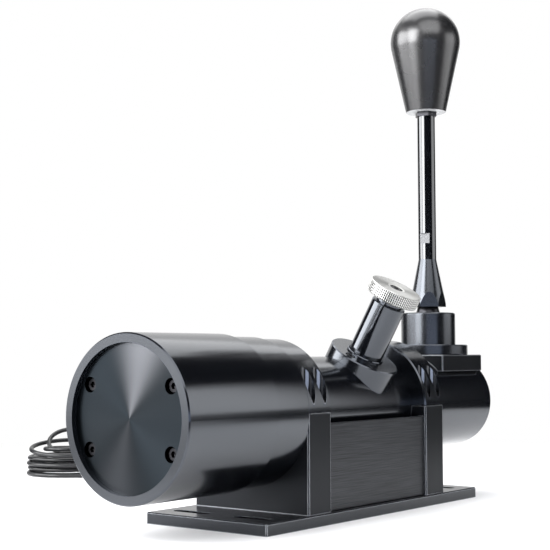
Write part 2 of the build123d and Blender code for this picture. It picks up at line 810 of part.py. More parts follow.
# The selector shaft slides and turns in the bushes. The yoke on it takes the arm's ball,
# two collars trap the guide sleeve, and the gate hub carries the gate pin and the magnet.
with BuildPart() as selector_shaft:
    ring(facing(shaft_rear), shaft_radius, 0, shaft_rear - shaft_front)
    chamfer(selector_shaft.edges().filter_by(GeomType.CIRCLE), panel_edge)
keep(selector_shaft, "selector_shaft")

yoke_hole = arm_ball_radius + yoke_hole_gap
with BuildPart() as shaft_yoke:
    yoke_plane = facing(lever_y + yoke_length / 2)
    with BuildSketch(yoke_plane) as outline:
        Circle(yoke_radius)
        with Locations((0, yoke_boss_height / 2)):
            Rectangle(yoke_boss_width, yoke_boss_height)
        Circle(shaft_radius + fit, mode=Mode.SUBTRACT)
    extrude(outline.sketch, amount=yoke_length)
    bore(level(axis_z + yoke_hole_floor, 0, lever_y), yoke_hole, yoke_boss_height)
    set_way = level(axis_z - yoke_radius - overrun, 0, lever_y)
    bore(set_way, set_screw / 2 + fit, yoke_radius + overrun - shaft_radius)
keep(shaft_yoke, "shaft_yoke")

with BuildPart() as yoke_screw:
    screw_foot = axis_z - yoke_radius + panel_edge
    screw_length = yoke_radius - shaft_radius - panel_edge - 2 * fit
    ring(level(screw_foot, 0, lever_y), set_screw / 2, 0, screw_length)
    with BuildSketch(level(screw_foot, 0, lever_y)):
        RegularPolygon(set_screw / 4, 6, major_radius=False)
    extrude(amount=set_screw / 2, mode=Mode.SUBTRACT)
keep(yoke_screw, "yoke_screw")

collar_step = sleeve_length / 2 + free_gap
with BuildPart() as shaft_collars:
    for rear in (adjuster_y - collar_step, adjuster_y + collar_step + shaft_collar_length):
        ring(facing(rear), shaft_collar_radius, shaft_radius + fit, shaft_collar_length)
keep(shaft_collars, "shaft_collars")

with BuildPart() as gate_hub:
    hub_plane = facing(gate_y + gate_hub_length / 2)
    ring(hub_plane, gate_hub_radius, shaft_radius + fit, gate_hub_length)
    pin_way = level(axis_z + shaft_radius, 0, gate_y)
    bore(pin_way, gate_pin_radius + fit, gate_hub_radius)
keep(gate_hub, "gate_hub")

with BuildPart() as gate_pin:
    pin_foot = shaft_radius + 2 * fit
    ring(level(axis_z + pin_foot, 0, gate_y), gate_pin_radius, 0, gate_pin_tip - pin_foot)
    fillet(gate_pin.edges().sort_by(Axis.Z)[-1], gate_pin_radius / 4)
keep(gate_pin, "gate_pin")

with BuildPart() as shaft_magnet:
    ring(facing(shaft_front - fit), magnet_radius, 0, magnet_length)
keep(shaft_magnet, "shaft_magnet")

# The guide sleeve moves along with the shaft but doesn't turn: the adjuster's plunger
# rides in its flat track.
with BuildPart() as guide_sleeve:
    sleeve_plane = facing(adjuster_y + sleeve_length / 2)
    sleeve_bore = shaft_radius + running
    ring(sleeve_plane, tube_bore - free_gap, sleeve_bore, sleeve_length)
    with BuildSketch(leaning(sleeve_track_floor)):
        Rectangle(sleeve_length + overrun, 2 * (plunger_tip_radius + free_gap))
    extrude(amount=tube_radius, mode=Mode.SUBTRACT)
keep(guide_sleeve, "guide_sleeve")


def spring(centre, direction, across, radius, pitch, turns, wire):
    """Sweep a wire along a helix made of two arcs to each quarter turn."""
    steps = 4 * turns
    slope = pitch / (2 * pi * radius)
    side = direction.cross(across)

    def station(i):
        angle = i * pi / 2
        around = across * cos(angle) + side * sin(angle)
        point = centre + around * radius + direction * (pitch * i / 4)
        run = side * cos(angle) - across * sin(angle) + direction * slope
        return point, run.normalized()

    with BuildLine() as path:
        for i in range(steps):
            p0, t0 = station(i)
            p1, t1 = station(i + 1)
            v = p1 - p0
            both = v.dot(t0 + t1)
            bend = 2 * (1 - t0.dot(t1))
            reach = (-both + sqrt(both**2 + bend * v.dot(v))) / bend
            joint = (p0 + t0 * reach + p1 - t1 * reach) * 0.5
            first = TangentArc(p0, joint, tangent=t0)
            TangentArc(joint, p1, tangent=first % 1)
    start, run = station(0)
    with BuildSketch(Plane(origin=start, z_dir=run)) as section:
        Circle(wire)
    sweep(section.sketch, path=path.wire())


# The centring spring lies round the shaft against the front bush.
with BuildPart() as centring_spring:
    rest = Vector(0, tube_front - centring_wire_radius - free_gap, axis_z)
    spring(
        rest,
        Vector(0, -1, 0),
        Vector(1, 0, 0),
        centring_coil_radius,
        centring_pitch,
        centring_turns,
        centring_wire_radius,
    )
keep(centring_spring, "centring_spring")

# The resistance adjuster leans to the right on the tube: a round saddle with two screws, a
# barrel through it into the tube, a ring at the barrel's foot, and a knurled dial on a
# threaded spindle that presses a spring down onto the plunger.
saddle_seat = saddle_top - saddle_screw * head_height_share
saddle_start = sqrt(tube_radius**2 - saddle_radius**2) - overrun
adjuster_line = Axis(leaning(0).origin, leaning(0).z_dir)
with BuildPart() as adjuster_saddle:
    saddle_inner = barrel_radius + fit
    ring(leaning(saddle_start), saddle_radius, saddle_inner, saddle_top - saddle_start)
    chamfer(adjuster_saddle.edges().sort_by(adjuster_line)[-2:], saddle_edge)
    clear_way = facing(adjuster_y + saddle_radius + overrun)
    bore(clear_way, tube_radius + fit, 2 * (saddle_radius + overrun))
    bore(leaning(0), saddle_screw / 2 + fit, saddle_top, saddle_places)
    head_radius = saddle_screw * head_radius_share + pocket_gap
    bore(leaning(saddle_seat), head_radius, saddle_top, saddle_places)
keep(adjuster_saddle, "adjuster_saddle")

with BuildPart() as saddle_screws:
    cap_screws(leaning(saddle_seat), saddle_places, saddle_screw, saddle_screw_grip)
keep(saddle_screws, "saddle_screws")

roof_seat = barrel_neck_top - barrel_roof
with BuildPart() as adjuster_barrel:
    ring(leaning(barrel_foot), barrel_radius, 0, barrel_top - barrel_foot)
    chamfer(adjuster_barrel.edges().sort_by(adjuster_line)[-1], barrel_edge)
    ring(leaning(barrel_top), barrel_neck_radius, 0, barrel_neck_top - barrel_top)
    bore(leaning(barrel_foot), barrel_bore, roof_seat - barrel_foot)
    bore(leaning(roof_seat), spindle_radius + running, barrel_roof)
keep(adjuster_barrel, "adjuster_barrel")

with BuildPart() as barrel_ring:
    ring(leaning(saddle_top), barrel_ring_radius, barrel_radius + fit, barrel_ring_height)
    chamfer(barrel_ring.edges().sort_by(adjuster_line)[-2:], panel_edge)
keep(barrel_ring, "barrel_ring")

dial_seat = dial_top - dial_screw_sunk - dial_screw * head_height_share
spindle_top = dial_seat - dial_web
with BuildPart() as adjuster_dial:
    ring(leaning(dial_bottom), dial_radius, 0, dial_top - dial_bottom)
    chamfer(adjuster_dial.edges().filter_by(GeomType.CIRCLE), dial_edge)
    bore(leaning(dial_bottom), spindle_radius + fit, spindle_top - dial_bottom)
    bore(leaning(dial_bottom), dial_screw / 2 + fit, dial_top - dial_bottom)
    bore(leaning(dial_seat), dial_screw * head_radius_share + fit, dial_top - dial_seat)
keep(adjuster_dial, "adjuster_dial")

with BuildPart() as adjuster_spindle:
    ring(leaning(spindle_foot), spindle_radius, 0, spindle_top - spindle_foot)
    flange_foot = roof_seat - free_gap - spindle_flange_height
    ring(leaning(flange_foot), spindle_flange_radius, 0, spindle_flange_height)
    tapped = dial_screw_grip - dial_web + free_gap
    bore(leaning(spindle_top - tapped), dial_screw / 2 + fit, tapped)
keep(adjuster_spindle, "adjuster_spindle")

with BuildPart() as dial_screw_piece:
    cap_screws(leaning(dial_seat), [(0, 0)], dial_screw, dial_screw_grip)
keep(dial_screw_piece, "dial_screw")

with BuildPart() as spring_seat:
    seat_inner = spindle_radius + running
    ring(leaning(spring_seat_bottom), barrel_bore - running, seat_inner, spring_seat_height)
keep(spring_seat, "spring_seat")

with BuildPart() as plunger_spring:
    spring_foot = plunger_top + plunger_wire_radius + fit
    spring_head = spring_seat_bottom - plunger_wire_radius - free_gap
    spring(
        leaning(spring_foot).origin,
        leaning(0).z_dir,
        Vector(0, 1, 0),
        plunger_coil_radius,
        (spring_head - spring_foot) / plunger_coil_turns,
        plunger_coil_turns,
        plunger_wire_radius,
    )
keep(plunger_spring, "plunger_spring")

with BuildPart() as plunger:
    tip_end = sleeve_track_floor + 2 * fit
    ring(leaning(plunger_shoulder), plunger_head_radius, 0, plunger_top - plunger_shoulder)
    ring(leaning(tip_end), plunger_tip_radius, 0, plunger_shoulder - tip_end)
    chamfer(plunger.edges().sort_by(adjuster_line)[0], panel_edge)
keep(plunger, "plunger")

# Electronics: a round board with six field sensors faces the shaft's magnet, and a
# controller board lies on the base plate. One wire joins them and another goes to the gland.
board_front = disc_rear + sensor_post_length
board_rear = board_front + board_thickness
post_place = sensor_post_ring / sqrt(2)
controller_low = base_thickness + controller_post_height
controller_high = controller_low + board_thickness
with BuildPart() as circuit_boards:
    ring(facing(board_rear), sensor_board_radius, 0, board_thickness)
    with BuildSketch(level(controller_low, 0, controller_y)) as outline:
        Rectangle(controller_width, controller_length)
    extrude(outline.sketch, amount=board_thickness)
keep(circuit_boards, "circuit_boards")

with BuildPart() as board_posts:
    with BuildSketch(facing(board_front)) as outline:
        with Locations(*[(i * post_place, j * post_place) for i in (-1, 1) for j in (-1, 1)]):
            Circle(sensor_post_radius)
    extrude(outline.sketch, amount=sensor_post_length)
    with BuildSketch(level(base_thickness, 0, controller_y)) as outline:
        inset = 2 * controller_post_inset
        with GridLocations(controller_width - inset, controller_length - inset, 2, 2):
            Circle(sensor_post_radius)
    extrude(outline.sketch, amount=controller_post_height)
keep(board_posts, "board_posts")

wire_z = axis_z - wire_drop
wire_y = wire_turn_y + wire_bend
terminal_width = gland_flange_radius + free_gap
with BuildPart() as board_parts:
    with BuildSketch(facing(board_rear + chip_height)) as outline:
        with PolarLocations(chip_ring, 6, start_angle=30):
            Rectangle(chip_length, chip_width)
    extrude(outline.sketch, amount=chip_height)
    with BuildSketch(facing(board_rear + sensor_socket_height)) as outline:
        with Locations((0, -wire_drop)):
            Rectangle(sensor_socket_width, chip_length)
    extrude(outline.sketch, amount=sensor_socket_height)
    with BuildSketch(level(controller_high, 0, wire_y)) as outline:
        Rectangle(sensor_socket_width, chip_length)
    extrude(outline.sketch, amount=controller_socket_height)
    with BuildSketch(level(controller_high, 0, controller_y)) as outline:
        Rectangle(controller_chip_width, controller_chip_width)
    extrude(outline.sketch, amount=chip_height)
    terminal_x = (terminal_width - controller_width) / 2
    with BuildSketch(level(controller_high, terminal_x, gland_y)) as outline:
        Rectangle(terminal_width, 2 * terminal_width)
    extrude(outline.sketch, amount=gland_z + gland_body_radius - controller_high)
keep(board_parts, "board_parts")

relief_start = -panel_face - gland_flange_height
relief_end = relief_start - relief_length
with BuildPart() as inner_wires:
    wire_start = Vector(0, board_rear + sensor_socket_height, wire_z)
    wire_corner = Vector(0, wire_y, wire_z)
    wire_end = Vector(0, wire_y, controller_high + controller_socket_height)
    with BuildLine() as path:
        FilletPolyline(wire_start, wire_corner, wire_end, radius=wire_bend)
    with BuildSketch(facing(wire_start.Y)) as section:
        with Locations((0, -wire_drop)):
            Circle(wire_radius)
    sweep(section.sketch, path=path.wire())
    with BuildSketch(Plane(origin=(relief_end, gland_y, gland_z), z_dir=(1, 0, 0))) as section:
        Circle(cable_radius)
    extrude(section.sketch, amount=-controller_width / 2 - relief_end)
keep(inner_wires, "inner_wires")

# The cable's gland: flange and tapered relief outside the left panel, body through it, nut
# inside.
nut_face = -panel_face + panel_thickness
with BuildPart() as cable_gland:
    body_end = nut_face + gland_nut_height + panel_edge
    gland_plane = Plane(origin=(relief_start, gland_y, gland_z), z_dir=(1, 0, 0))
    ring(gland_plane, gland_flange_radius, 0, gland_flange_height)
    chamfer(cable_gland.edges().filter_by(GeomType.CIRCLE).sort_by(Axis.X)[0], panel_edge)
    ring(gland_plane, gland_body_radius, 0, body_end - relief_start)
    relief_line = Axis((0, gland_y, gland_z), (1, 0, 0))
    side_plane = Plane(origin=(0, gland_y, gland_z), x_dir=(1, 0, 0), z_dir=(0, -1, 0))
    with BuildSketch(side_plane) as outline:
        with BuildLine():
            Polyline(
                (relief_start, 0),
                (relief_start, relief_radius),
                (relief_end, relief_end_radius),
                (relief_end, 0),
                close=True,
            )
        make_face()
    revolve(outline.sketch, relief_line)
    way = Plane(origin=(relief_end, gland_y, gland_z), z_dir=(1, 0, 0))
    bore(way, cable_radius + fit, body_end - relief_end)
keep(cable_gland, "cable_gland")

with BuildPart() as gland_nut:
    with BuildSketch(Plane(origin=(nut_face, gland_y, gland_z), z_dir=(1, 0, 0))) as outline:
        RegularPolygon(gland_nut_radius, 6)
        Circle(gland_body_radius + fit, mode=Mode.SUBTRACT)
    extrude(outline.sketch, amount=gland_nut_height)
keep(gland_nut, "gland_nut")

# The cable. Its coil is a run of half turns between near and far points on one line; the
# pile has four layers, spiralling in and out again, and loose loops on top.
coil_along = Vector(cos(radians(coil_bearing)), sin(radians(coil_bearing)), 0)
coil_right = Vector(sin(radians(coil_bearing)), -cos(radians(coil_bearing)), 0)


def coil_place(reach, height):
    """A point of the coil, by its distance past the middle and its height."""
    return Vector(*coil_centre, height) + coil_along * reach


coil_stations = []
for layer in (0, 2):
    low = cable_radius + layer * coil_rise
    high = low + coil_rise
    near = -coil_outer
    far = coil_outer - coil_pitch / 2
    coil_stations += [(near, low), (far, low), (near + coil_pitch, low)]
    coil_stations += [(far - coil_pitch, low), (near + 2 * coil_pitch, high), (far, high)]
    coil_stations += [(near + coil_pitch, high), (far + coil_pitch, high)]
coil_stations = [coil_place(*station) for station in coil_stations + list(loose_loops)]
coil_start = coil_stations[0] + coil_right * (2 * cable_radius)
coil_end = coil_stations[-1] + coil_right * (2 * cable_radius)


def half_turns(stations):
    """Middle, start, end and sideways reach of each half turn, left and right in turn."""
    side = -1
    turns = []
    for p0, p1 in zip(stations, stations[1:]):
        turns.append(((p0 + p1) * 0.5, p0, p1, coil_right * (side * (p1 - p0).length / 2)))
        side = -side
    return turns


with BuildPart() as cable_coil:
    with BuildLine() as path:
        Line(coil_start, coil_stations[0])
        for middle, p0, p1, out in half_turns(coil_stations):
            ThreePointArc(p0, middle + out, p1)
        Line(coil_stations[-1], coil_end)
    with BuildSketch(Plane(origin=coil_start, z_dir=-coil_right)) as section:
        Circle(cable_radius)
    sweep(section.sketch, path=path.wire())
keep(cable_coil, "cable_coil")

wound = []
for middle, p0, p1, out in half_turns(coil_stations):
    for step in range(coil_points):
        angle = pi * step / coil_points
        point = middle + (p0 - middle) * cos(angle) + out * sin(angle)
        wound.append(tuple(point))
skip = coil_points // 3
least = min(dist(p, q) for i, p in enumerate(wound) for q in wound[i + skip :])
print("coil: least gap to itself", round(least - 2 * cable_radius, 2), "mm")


def bends(route, name):
    """Radii for a cord's bends, from the shorter run beside each and the turn there."""
    radii = []
    for a, b, c in zip(route, route[1:], route[2:]):
        before = b - a
        after = c - b
        half = radians(before.get_angle(after)) / 2
        radii.append(bend_share * min(before.length, after.length) / tan(half))
    print(name, "bend radii", [round(radius, 1) for radius in radii])
    return radii


lead_points = [Vector(relief_end, gland_y, gland_z)]
lead_points += [Vector(*point) for point in lead_route] + [coil_start]
with BuildPart() as cable_lead:
    with BuildLine() as path:
        FilletPolyline(*lead_points, radius=bends(lead_points, "cable_lead"))
    with BuildSketch(Plane(origin=lead_points[0], z_dir=(-1, 0, 0))) as section:
        Circle(cable_radius)
    sweep(section.sketch, path=path.wire())
keep(cable_lead, "cable_lead")

tail_points = [coil_end] + [Vector(*point) for point in tail_route]
plug_way = Vector(cos(radians(plug_bearing)), sin(radians(plug_bearing)), 0)
plug_start = tail_points[-1] + plug_way * plug_run
tail_points.append(plug_start)
with BuildPart() as cable_tail:
    with BuildLine() as path:
        FilletPolyline(*tail_points, radius=bends(tail_points, "cable_tail"))
    with BuildSketch(Plane(origin=coil_end, z_dir=coil_right)) as section:
        Circle(cable_radius)
    sweep(section.sketch, path=path.wire())
keep(cable_tail, "cable_tail")

plug_plane = Plane(origin=plug_start, x_dir=(0, 0, 1), z_dir=plug_way)
with BuildPart() as usb_plug:
    with BuildSketch(plug_plane) as outline:
        RectangleRounded(plug_height, plug_width, plug_corner)
    extrude(outline.sketch, amount=plug_length)
    with BuildSketch(plug_plane.offset(plug_length)) as tongue:
        with Locations((-shell_height / 4 + shell_wall / 2, 0)):
            Rectangle(shell_height / 2 - shell_wall, shell_width - 2 * shell_wall - fit)
    extrude(tongue.sketch, amount=shell_length - shell_wall)
keep(usb_plug, "usb_plug")

with BuildPart() as usb_shell:
    with BuildSketch(plug_plane.offset(plug_length)) as outline:
        Rectangle(shell_height, shell_width)
        hollow_height = shell_height - 2 * shell_wall
        Rectangle(hollow_height, shell_width - 2 * shell_wall, mode=Mode.SUBTRACT)
    extrude(outline.sketch, amount=shell_length)
keep(usb_shell, "usb_shell")
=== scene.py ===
import math

import bmesh
import bpy
from mathutils import Matrix, Vector


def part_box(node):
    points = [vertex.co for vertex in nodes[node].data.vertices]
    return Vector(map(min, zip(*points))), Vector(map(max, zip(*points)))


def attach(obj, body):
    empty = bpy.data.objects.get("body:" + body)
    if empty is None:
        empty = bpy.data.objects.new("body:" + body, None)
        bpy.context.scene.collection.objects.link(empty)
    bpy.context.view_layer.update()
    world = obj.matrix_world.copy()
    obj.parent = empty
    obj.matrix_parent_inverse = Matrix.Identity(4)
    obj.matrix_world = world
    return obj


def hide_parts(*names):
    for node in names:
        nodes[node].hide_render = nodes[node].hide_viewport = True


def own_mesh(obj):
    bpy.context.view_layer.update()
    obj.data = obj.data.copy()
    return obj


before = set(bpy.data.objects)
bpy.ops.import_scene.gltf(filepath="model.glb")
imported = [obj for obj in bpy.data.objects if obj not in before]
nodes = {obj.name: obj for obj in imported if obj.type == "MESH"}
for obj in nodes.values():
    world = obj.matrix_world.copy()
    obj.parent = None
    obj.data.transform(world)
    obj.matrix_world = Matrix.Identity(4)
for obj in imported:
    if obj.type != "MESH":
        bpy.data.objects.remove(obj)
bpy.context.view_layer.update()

# The camera stands in front of the drum, to the driver's right and a little below the
# lever's seat, level with the tube, as the photographer's did.
camera_place = (0.42739, -0.59896, 0.09148)
camera_rise, camera_turn, camera_roll = 93.5375, 37.7544, -0.1603


def placed(name, data):
    """Put the camera, a lamp, a mesh or a curve into the scene."""
    made = bpy.data.objects.new(name, data)
    bpy.context.collection.objects.link(made)
    return made


camera_data = bpy.data.cameras.new("camera")
camera_data.sensor_width = 36
camera_data.lens = 80.371
camera_data.shift_x, camera_data.shift_y = -0.0009, 0.0071
camera_data.clip_start = 0.01
camera = placed("camera", camera_data)
camera.matrix_world = (
    Matrix.Translation(camera_place)
    @ Matrix.Rotation(math.radians(camera_turn), 4, "Z")
    @ Matrix.Rotation(math.radians(camera_rise), 4, "X")
    @ Matrix.Rotation(math.radians(camera_roll), 4, "Z")
)
bpy.context.scene.camera = camera
bpy.context.scene.view_settings.view_transform = "Standard"

# The cable: a thin round lead with a smooth black PVC jacket, 2.1 m long. It leaves the
# gland on the left side, lies in a loose coil of piled turns and ends in its plug.
mm = 0.001
cable_radius = 1.6 * mm
coil_middle = Vector((-0.286, 0.060, 0))
coil_bearing = math.radians(127.75)
coil_along = Vector((math.cos(coil_bearing), math.sin(coil_bearing), 0))
coil_right = Vector((math.sin(coil_bearing), -math.cos(coil_bearing), 0))
cable_exit = Vector((-0.0525, 0.020, 0.017))
lead_route = [
    (-0.0740, 0.0200, 0.0170),
    (-0.1000, 0.0240, 0.0060),
    (-0.1280, 0.0330, 0.0016),
    (-0.1680, 0.0520, 0.0016),
    (-0.2120, 0.0660, 0.0016),
    (-0.2460, 0.05175, 0.0016),
]
tail_route = [
    (-0.2703, 0.0924, 0.0189),
    (-0.2497, 0.1083, 0.0059),
    (-0.2307, 0.1230, 0.0016),
    (-0.2051, 0.1344, 0.0016),
    (-0.1791, 0.1563, 0.0016),
    (-0.1644, 0.1752, 0.0040),
]
coil_outer, coil_pitch, coil_rise = 31.0 * mm, 3.8 * mm, 3.75 * mm
stations = []
for layer in (0, 2):
    low = cable_radius + layer * coil_rise
    high = low + coil_rise
    near, far = -coil_outer, coil_outer - coil_pitch / 2
    stations += [(near, low), (far, low), (near + coil_pitch, low)]
    stations += [(far - coil_pitch, low), (near + 2 * coil_pitch, high), (far, high)]
    stations += [(near + coil_pitch, high), (far + coil_pitch, high)]
stations += [(-0.031, 0.0166), (0.024, 0.0245), (-0.012, 0.0172)]
stations += [(0.014, 0.0335), (-0.019, 0.0202), (0.016, 0.0189)]
stations = [coil_middle + coil_along * reach + Vector((0, 0, z)) for reach, z in stations]
half_turn_points = 8
turn_points = []
side = -1
for start, end in zip(stations, stations[1:]):
    middle = (start + end) / 2
    out = coil_right * side * (end - start).length / 2
    swell = 1 / math.cos(math.pi / half_turn_points / 2)
    for i in range(half_turn_points):
        angle = math.pi * (i + 0.5) / half_turn_points
        turn_points.append(
            middle + ((start - middle) * math.cos(angle) + out * math.sin(angle)) * swell
        )
    side = -side
plug_bearing, plug_run = math.radians(52), 16 * mm
plug_way = Vector((math.cos(plug_bearing), math.sin(plug_bearing), 0))
plug_start = Vector(tail_route[-1]) + plug_way * plug_run
coil_start = stations[0] + coil_right * 2 * cable_radius
coil_end = stations[-1] + coil_right * 2 * cable_radius
cable_line = [cable_exit, *lead_route, coil_start, *turn_points, coil_end, *tail_route, plug_start]

cable_curve = bpy.data.curves.new("cable", "CURVE")
cable_curve.dimensions = "3D"
cable_curve.bevel_depth = cable_radius
cable_curve.bevel_resolution = 5
cable_curve.resolution_u = 6
cable_curve.use_fill_caps = True
cable_spline = cable_curve.splines.new("NURBS")
cable_spline.points.add(len(cable_line) - 1)
for point, place in zip(cable_spline.points, cable_line):
    point.co = (*place, 1)
cable_spline.order_u = 3
cable_spline.use_endpoint_u = True
cable = placed("cable", cable_curve)


def linear(code):
    """An sRGB hex colour as the linear numbers that a shader takes."""
    parts = [int(code[i : i + 2], 16) / 255 for i in (1, 3, 5)]
    return [p / 12.92 if p <= 0.04045 else ((p + 0.055) / 1.055) ** 2.4 for p in parts] + [1.0]


def feed(tree, node, inputs):
    """Set a node's inputs, each to a value or to the output that is linked to it."""
    for name, value in inputs.items():
        if isinstance(value, bpy.types.NodeSocket):
            tree.links.new(value, node.inputs[name])
        else:
            node.inputs[name].default_value = value


def add(tree, kind, inputs=None, **settings):
    """Add a node: its settings first, then its inputs as values or links."""
    node = tree.nodes.new("ShaderNode" + kind)
    for name, value in settings.items():
        setattr(node, name, value)
    feed(tree, node, inputs or {})
    return node


def new_material(name):
    """A new material, the tree of its nodes and the shader that it starts with."""
    made = bpy.data.materials.new(name)
    made.use_nodes = True
    return made, made.node_tree, made.node_tree.nodes["Principled BSDF"]


# PVC jacket, extruded: soft black plastic with a low sheen. Fine ripples from the die show
# as an uneven glint along the top of each turn.
cable_jacket, tree, jacket = new_material("black PVC, extruded")
place = add(tree, "TexCoord").outputs["Object"]
ripple = add(tree, "TexNoise", {"Vector": place, "Scale": 1 / (4 * mm), "Detail": 2})
dust = add(tree, "TexNoise", {"Vector": place, "Scale": 1 / (30 * mm), "Detail": 3})
shades = add(tree, "MapRange", {"Value": dust.outputs["Fac"], "To Min": 0.3, "To Max": 0.44})
feed(tree, jacket, {"Base Color": linear("#131417"), "IOR": 1.53})
feed(tree, jacket, {"Roughness": shades.outputs["Result"]})
bump = add(tree, "Bump", {"Height": ripple.outputs["Fac"], "Distance": 0.1 * mm, "Strength": 0.3})
feed(tree, jacket, {"Normal": bump.outputs["Normal"]})
cable.data.materials.append(cable_jacket)


def ringed(shape, place, rings, steps=48):
    """Skin a stack of rings along a piece's own axis. A ring is a height and a radius, the
    radius a number or a function of the angle, and nought closes the piece in a point."""
    before = None
    for height, radius in rings:
        ring = []
        for i in range(steps if radius else 1):
            angle = math.tau * i / steps
            reach = radius(angle) if callable(radius) else radius
            point = Vector((reach * math.cos(angle), reach * math.sin(angle), height))
            ring.append(shape.verts.new(place @ point))
        if before:
            for i in range(steps):
                j = (i + 1) % steps
                low = [before[i], before[j]] if len(before) > 1 else before
                high = [ring[j], ring[i]] if len(ring) > 1 else ring
                shape.faces.new(low + high)
        before = ring


def stand_at(point, along):
    """The place of a piece whose own axis starts at a point and runs along a direction."""
    return Matrix.Translation(point) @ Vector(along).to_track_quat("Z", "Y").to_matrix().to_4x4()


def meshed(name, shape):
    """Turn a shape into a mesh."""
    mesh = bpy.data.meshes.new(name)
    shape.to_mesh(mesh)
    shape.free()
    return mesh


def finished(name, shape, material, body, slot, *replaced):
    """Turn a shape into a piece: its mesh with crisp edges, its finish and its body."""
    bmesh.ops.recalc_face_normals(shape, faces=shape.faces)
    mesh = meshed(name, shape)
    mesh.shade_smooth()
    mesh.set_sharp_from_angle(angle=math.radians(32))
    mesh.materials.append(material)
    piece = placed(name, mesh)
    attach(piece, body)
    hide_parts(*replaced)
    return piece


def dress(material, *names):
    """Give CAD nodes a finish."""
    for name in names:
        mesh = nodes[name].data
        mesh.materials.clear()
        mesh.materials.append(material)


# The cable's plug: a moulded grip with finger ribs round it and a ribbed strain relief
# at its back, round a folded shell of nickel-plated steel with two latch windows above and
# two below, and the white tongue of its contacts inside.
grip_width, grip_height, grip_length = 15 * mm, 8 * mm, 22 * mm
relief_length, relief_radius, relief_ribs = 10 * mm, 3.0 * mm, 5
relief_rib = [(0.2 * mm, 0), (1.2 * mm, 0), (1.4 * mm, -0.5 * mm)]
relief_wall, relief_groove = 0.3 * mm, 0.5 * mm
grip_ribs, grip_ribs_start, grip_rib_pitch = 6, 5 * mm, 2 * mm
grip_rib = [(0, 0), (1.1 * mm, 0), (1.3 * mm, 0.35 * mm), (1.8 * mm, 0.35 * mm)]
grip_start, grip_end = [(0, 1 * mm), (0.8 * mm, 0.2 * mm)], [(-1 * mm, 0), (0, 0.6 * mm)]
plug_turn = Matrix.Translation(plug_start) @ Matrix(
    [(-plug_way.y, 0, plug_way.x, 0), (plug_way.x, 0, plug_way.y, 0), (0, 1, 0, 0), (0, 0, 0, 1)]
)


def grip_outline(shrink):
    """The grip's section: a rectangle with well rounded corners."""
    wide, high, squareness = grip_width / 2 - shrink, grip_height / 2 - shrink, 5

    def radius(angle):
        across = abs(math.cos(angle) / wide) ** squareness
        up = abs(math.sin(angle) / high) ** squareness
        return (across + up) ** (-1 / squareness)

    return radius


shape = bmesh.new()
rings = [(-relief_length, 0), (-relief_length, cable_radius + relief_wall)]
for rib in range(relief_ribs):
    start = -relief_length + rib * relief_length / relief_ribs
    grown = cable_radius + (relief_radius - cable_radius) * (rib + 1) / relief_ribs
    rings += [(start + rise, grown + out) for rise, out in relief_rib]
rings.append((0, relief_radius - relief_groove))
rings += [(rise, grip_outline(sunk)) for rise, sunk in grip_start]
for rib in range(grip_ribs):
    start = grip_ribs_start + rib * grip_rib_pitch
    rings += [(start + rise, grip_outline(sunk)) for rise, sunk in grip_rib]
rings += [(grip_length + rise, grip_outline(sunk)) for rise, sunk in grip_end]
rings.append((grip_length, 0))
ringed(shape, plug_turn, rings, 64)

# Moulded ABS of the grip: black, fine spark-eroded grain that breaks up its shine.
plug_grip, tree, moulded = new_material("black ABS, moulded")
place = add(tree, "TexCoord").outputs["Object"]
grain = add(tree, "TexNoise", {"Vector": place, "Scale": 1 / (0.5 * mm), "Detail": 2})
bump = add(tree, "Bump", {"Height": grain.outputs["Fac"], "Distance": 0.05 * mm, "Strength": 0.4})
feed(tree, moulded, {"Base Color": linear("#17181a"), "Roughness": 0.48, "IOR": 1.53})
feed(tree, moulded, {"Normal": bump.outputs["Normal"]})
plug = finished("plug_grip", shape, plug_grip, "frame", "chip", "usb_plug")

shell_width, shell_height, shell_length, shell_wall = 12 * mm, 4.5 * mm, 12 * mm, 0.4 * mm
window_width, window_start, window_end, window_place = 2.4 * mm, 5.0 * mm, 7.4 * mm, 3.0 * mm
shape = bmesh.new()
half, fold = shell_width / 2, 0.5 * mm
across = [-half + fold, -window_place - window_width / 2, -window_place + window_width / 2]
across += [window_place - window_width / 2, window_place + window_width / 2, half - fold]
upper = [(x, shell_height / 2) for x in across]
lower = [(x, -shell_height / 2) for x in reversed(across)]
sides = [(half, shell_height / 2 - fold), (half, -shell_height / 2 + fold)]
around = upper + sides + lower + [(-x, -z) for x, z in sides]
lengths = [0, window_start, window_end, shell_length]
rows = [
    [shape.verts.new(plug_turn @ Vector((x, z, grip_length + reach))) for x, z in around]
    for reach in lengths
]
windows = (1, 3, 9, 11)
for row, (low, high) in enumerate(zip(rows, rows[1:])):
    for i in range(len(around)):
        j = (i + 1) % len(around)
        if row != 1 or i not in windows:
            shape.faces.new([low[i], low[j], high[j], high[i]])

# Nickel-plated steel, folded: a warm bright metal with the faint drag lines of the press.
plug_shell, tree, plated = new_material("nickel-plated steel, folded")
place = add(tree, "TexCoord").outputs["Object"]
drag = add(tree, "TexNoise", {"Vector": place, "Scale": 1 / (1.5 * mm), "Detail": 3})
rub = add(tree, "MapRange", {"Value": drag.outputs["Fac"], "To Min": 0.2, "To Max": 0.36})
feed(tree, plated, {"Base Color": linear("#c9c7c0"), "Metallic": 1.0})
feed(tree, plated, {"Roughness": rub.outputs["Result"]})
shell = finished("plug_shell", shape, plug_shell, "frame", "plug_metal", "usb_shell")
thickness = shell.modifiers.new("sheet", "SOLIDIFY")
thickness.thickness = shell_wall
thickness.offset = -1

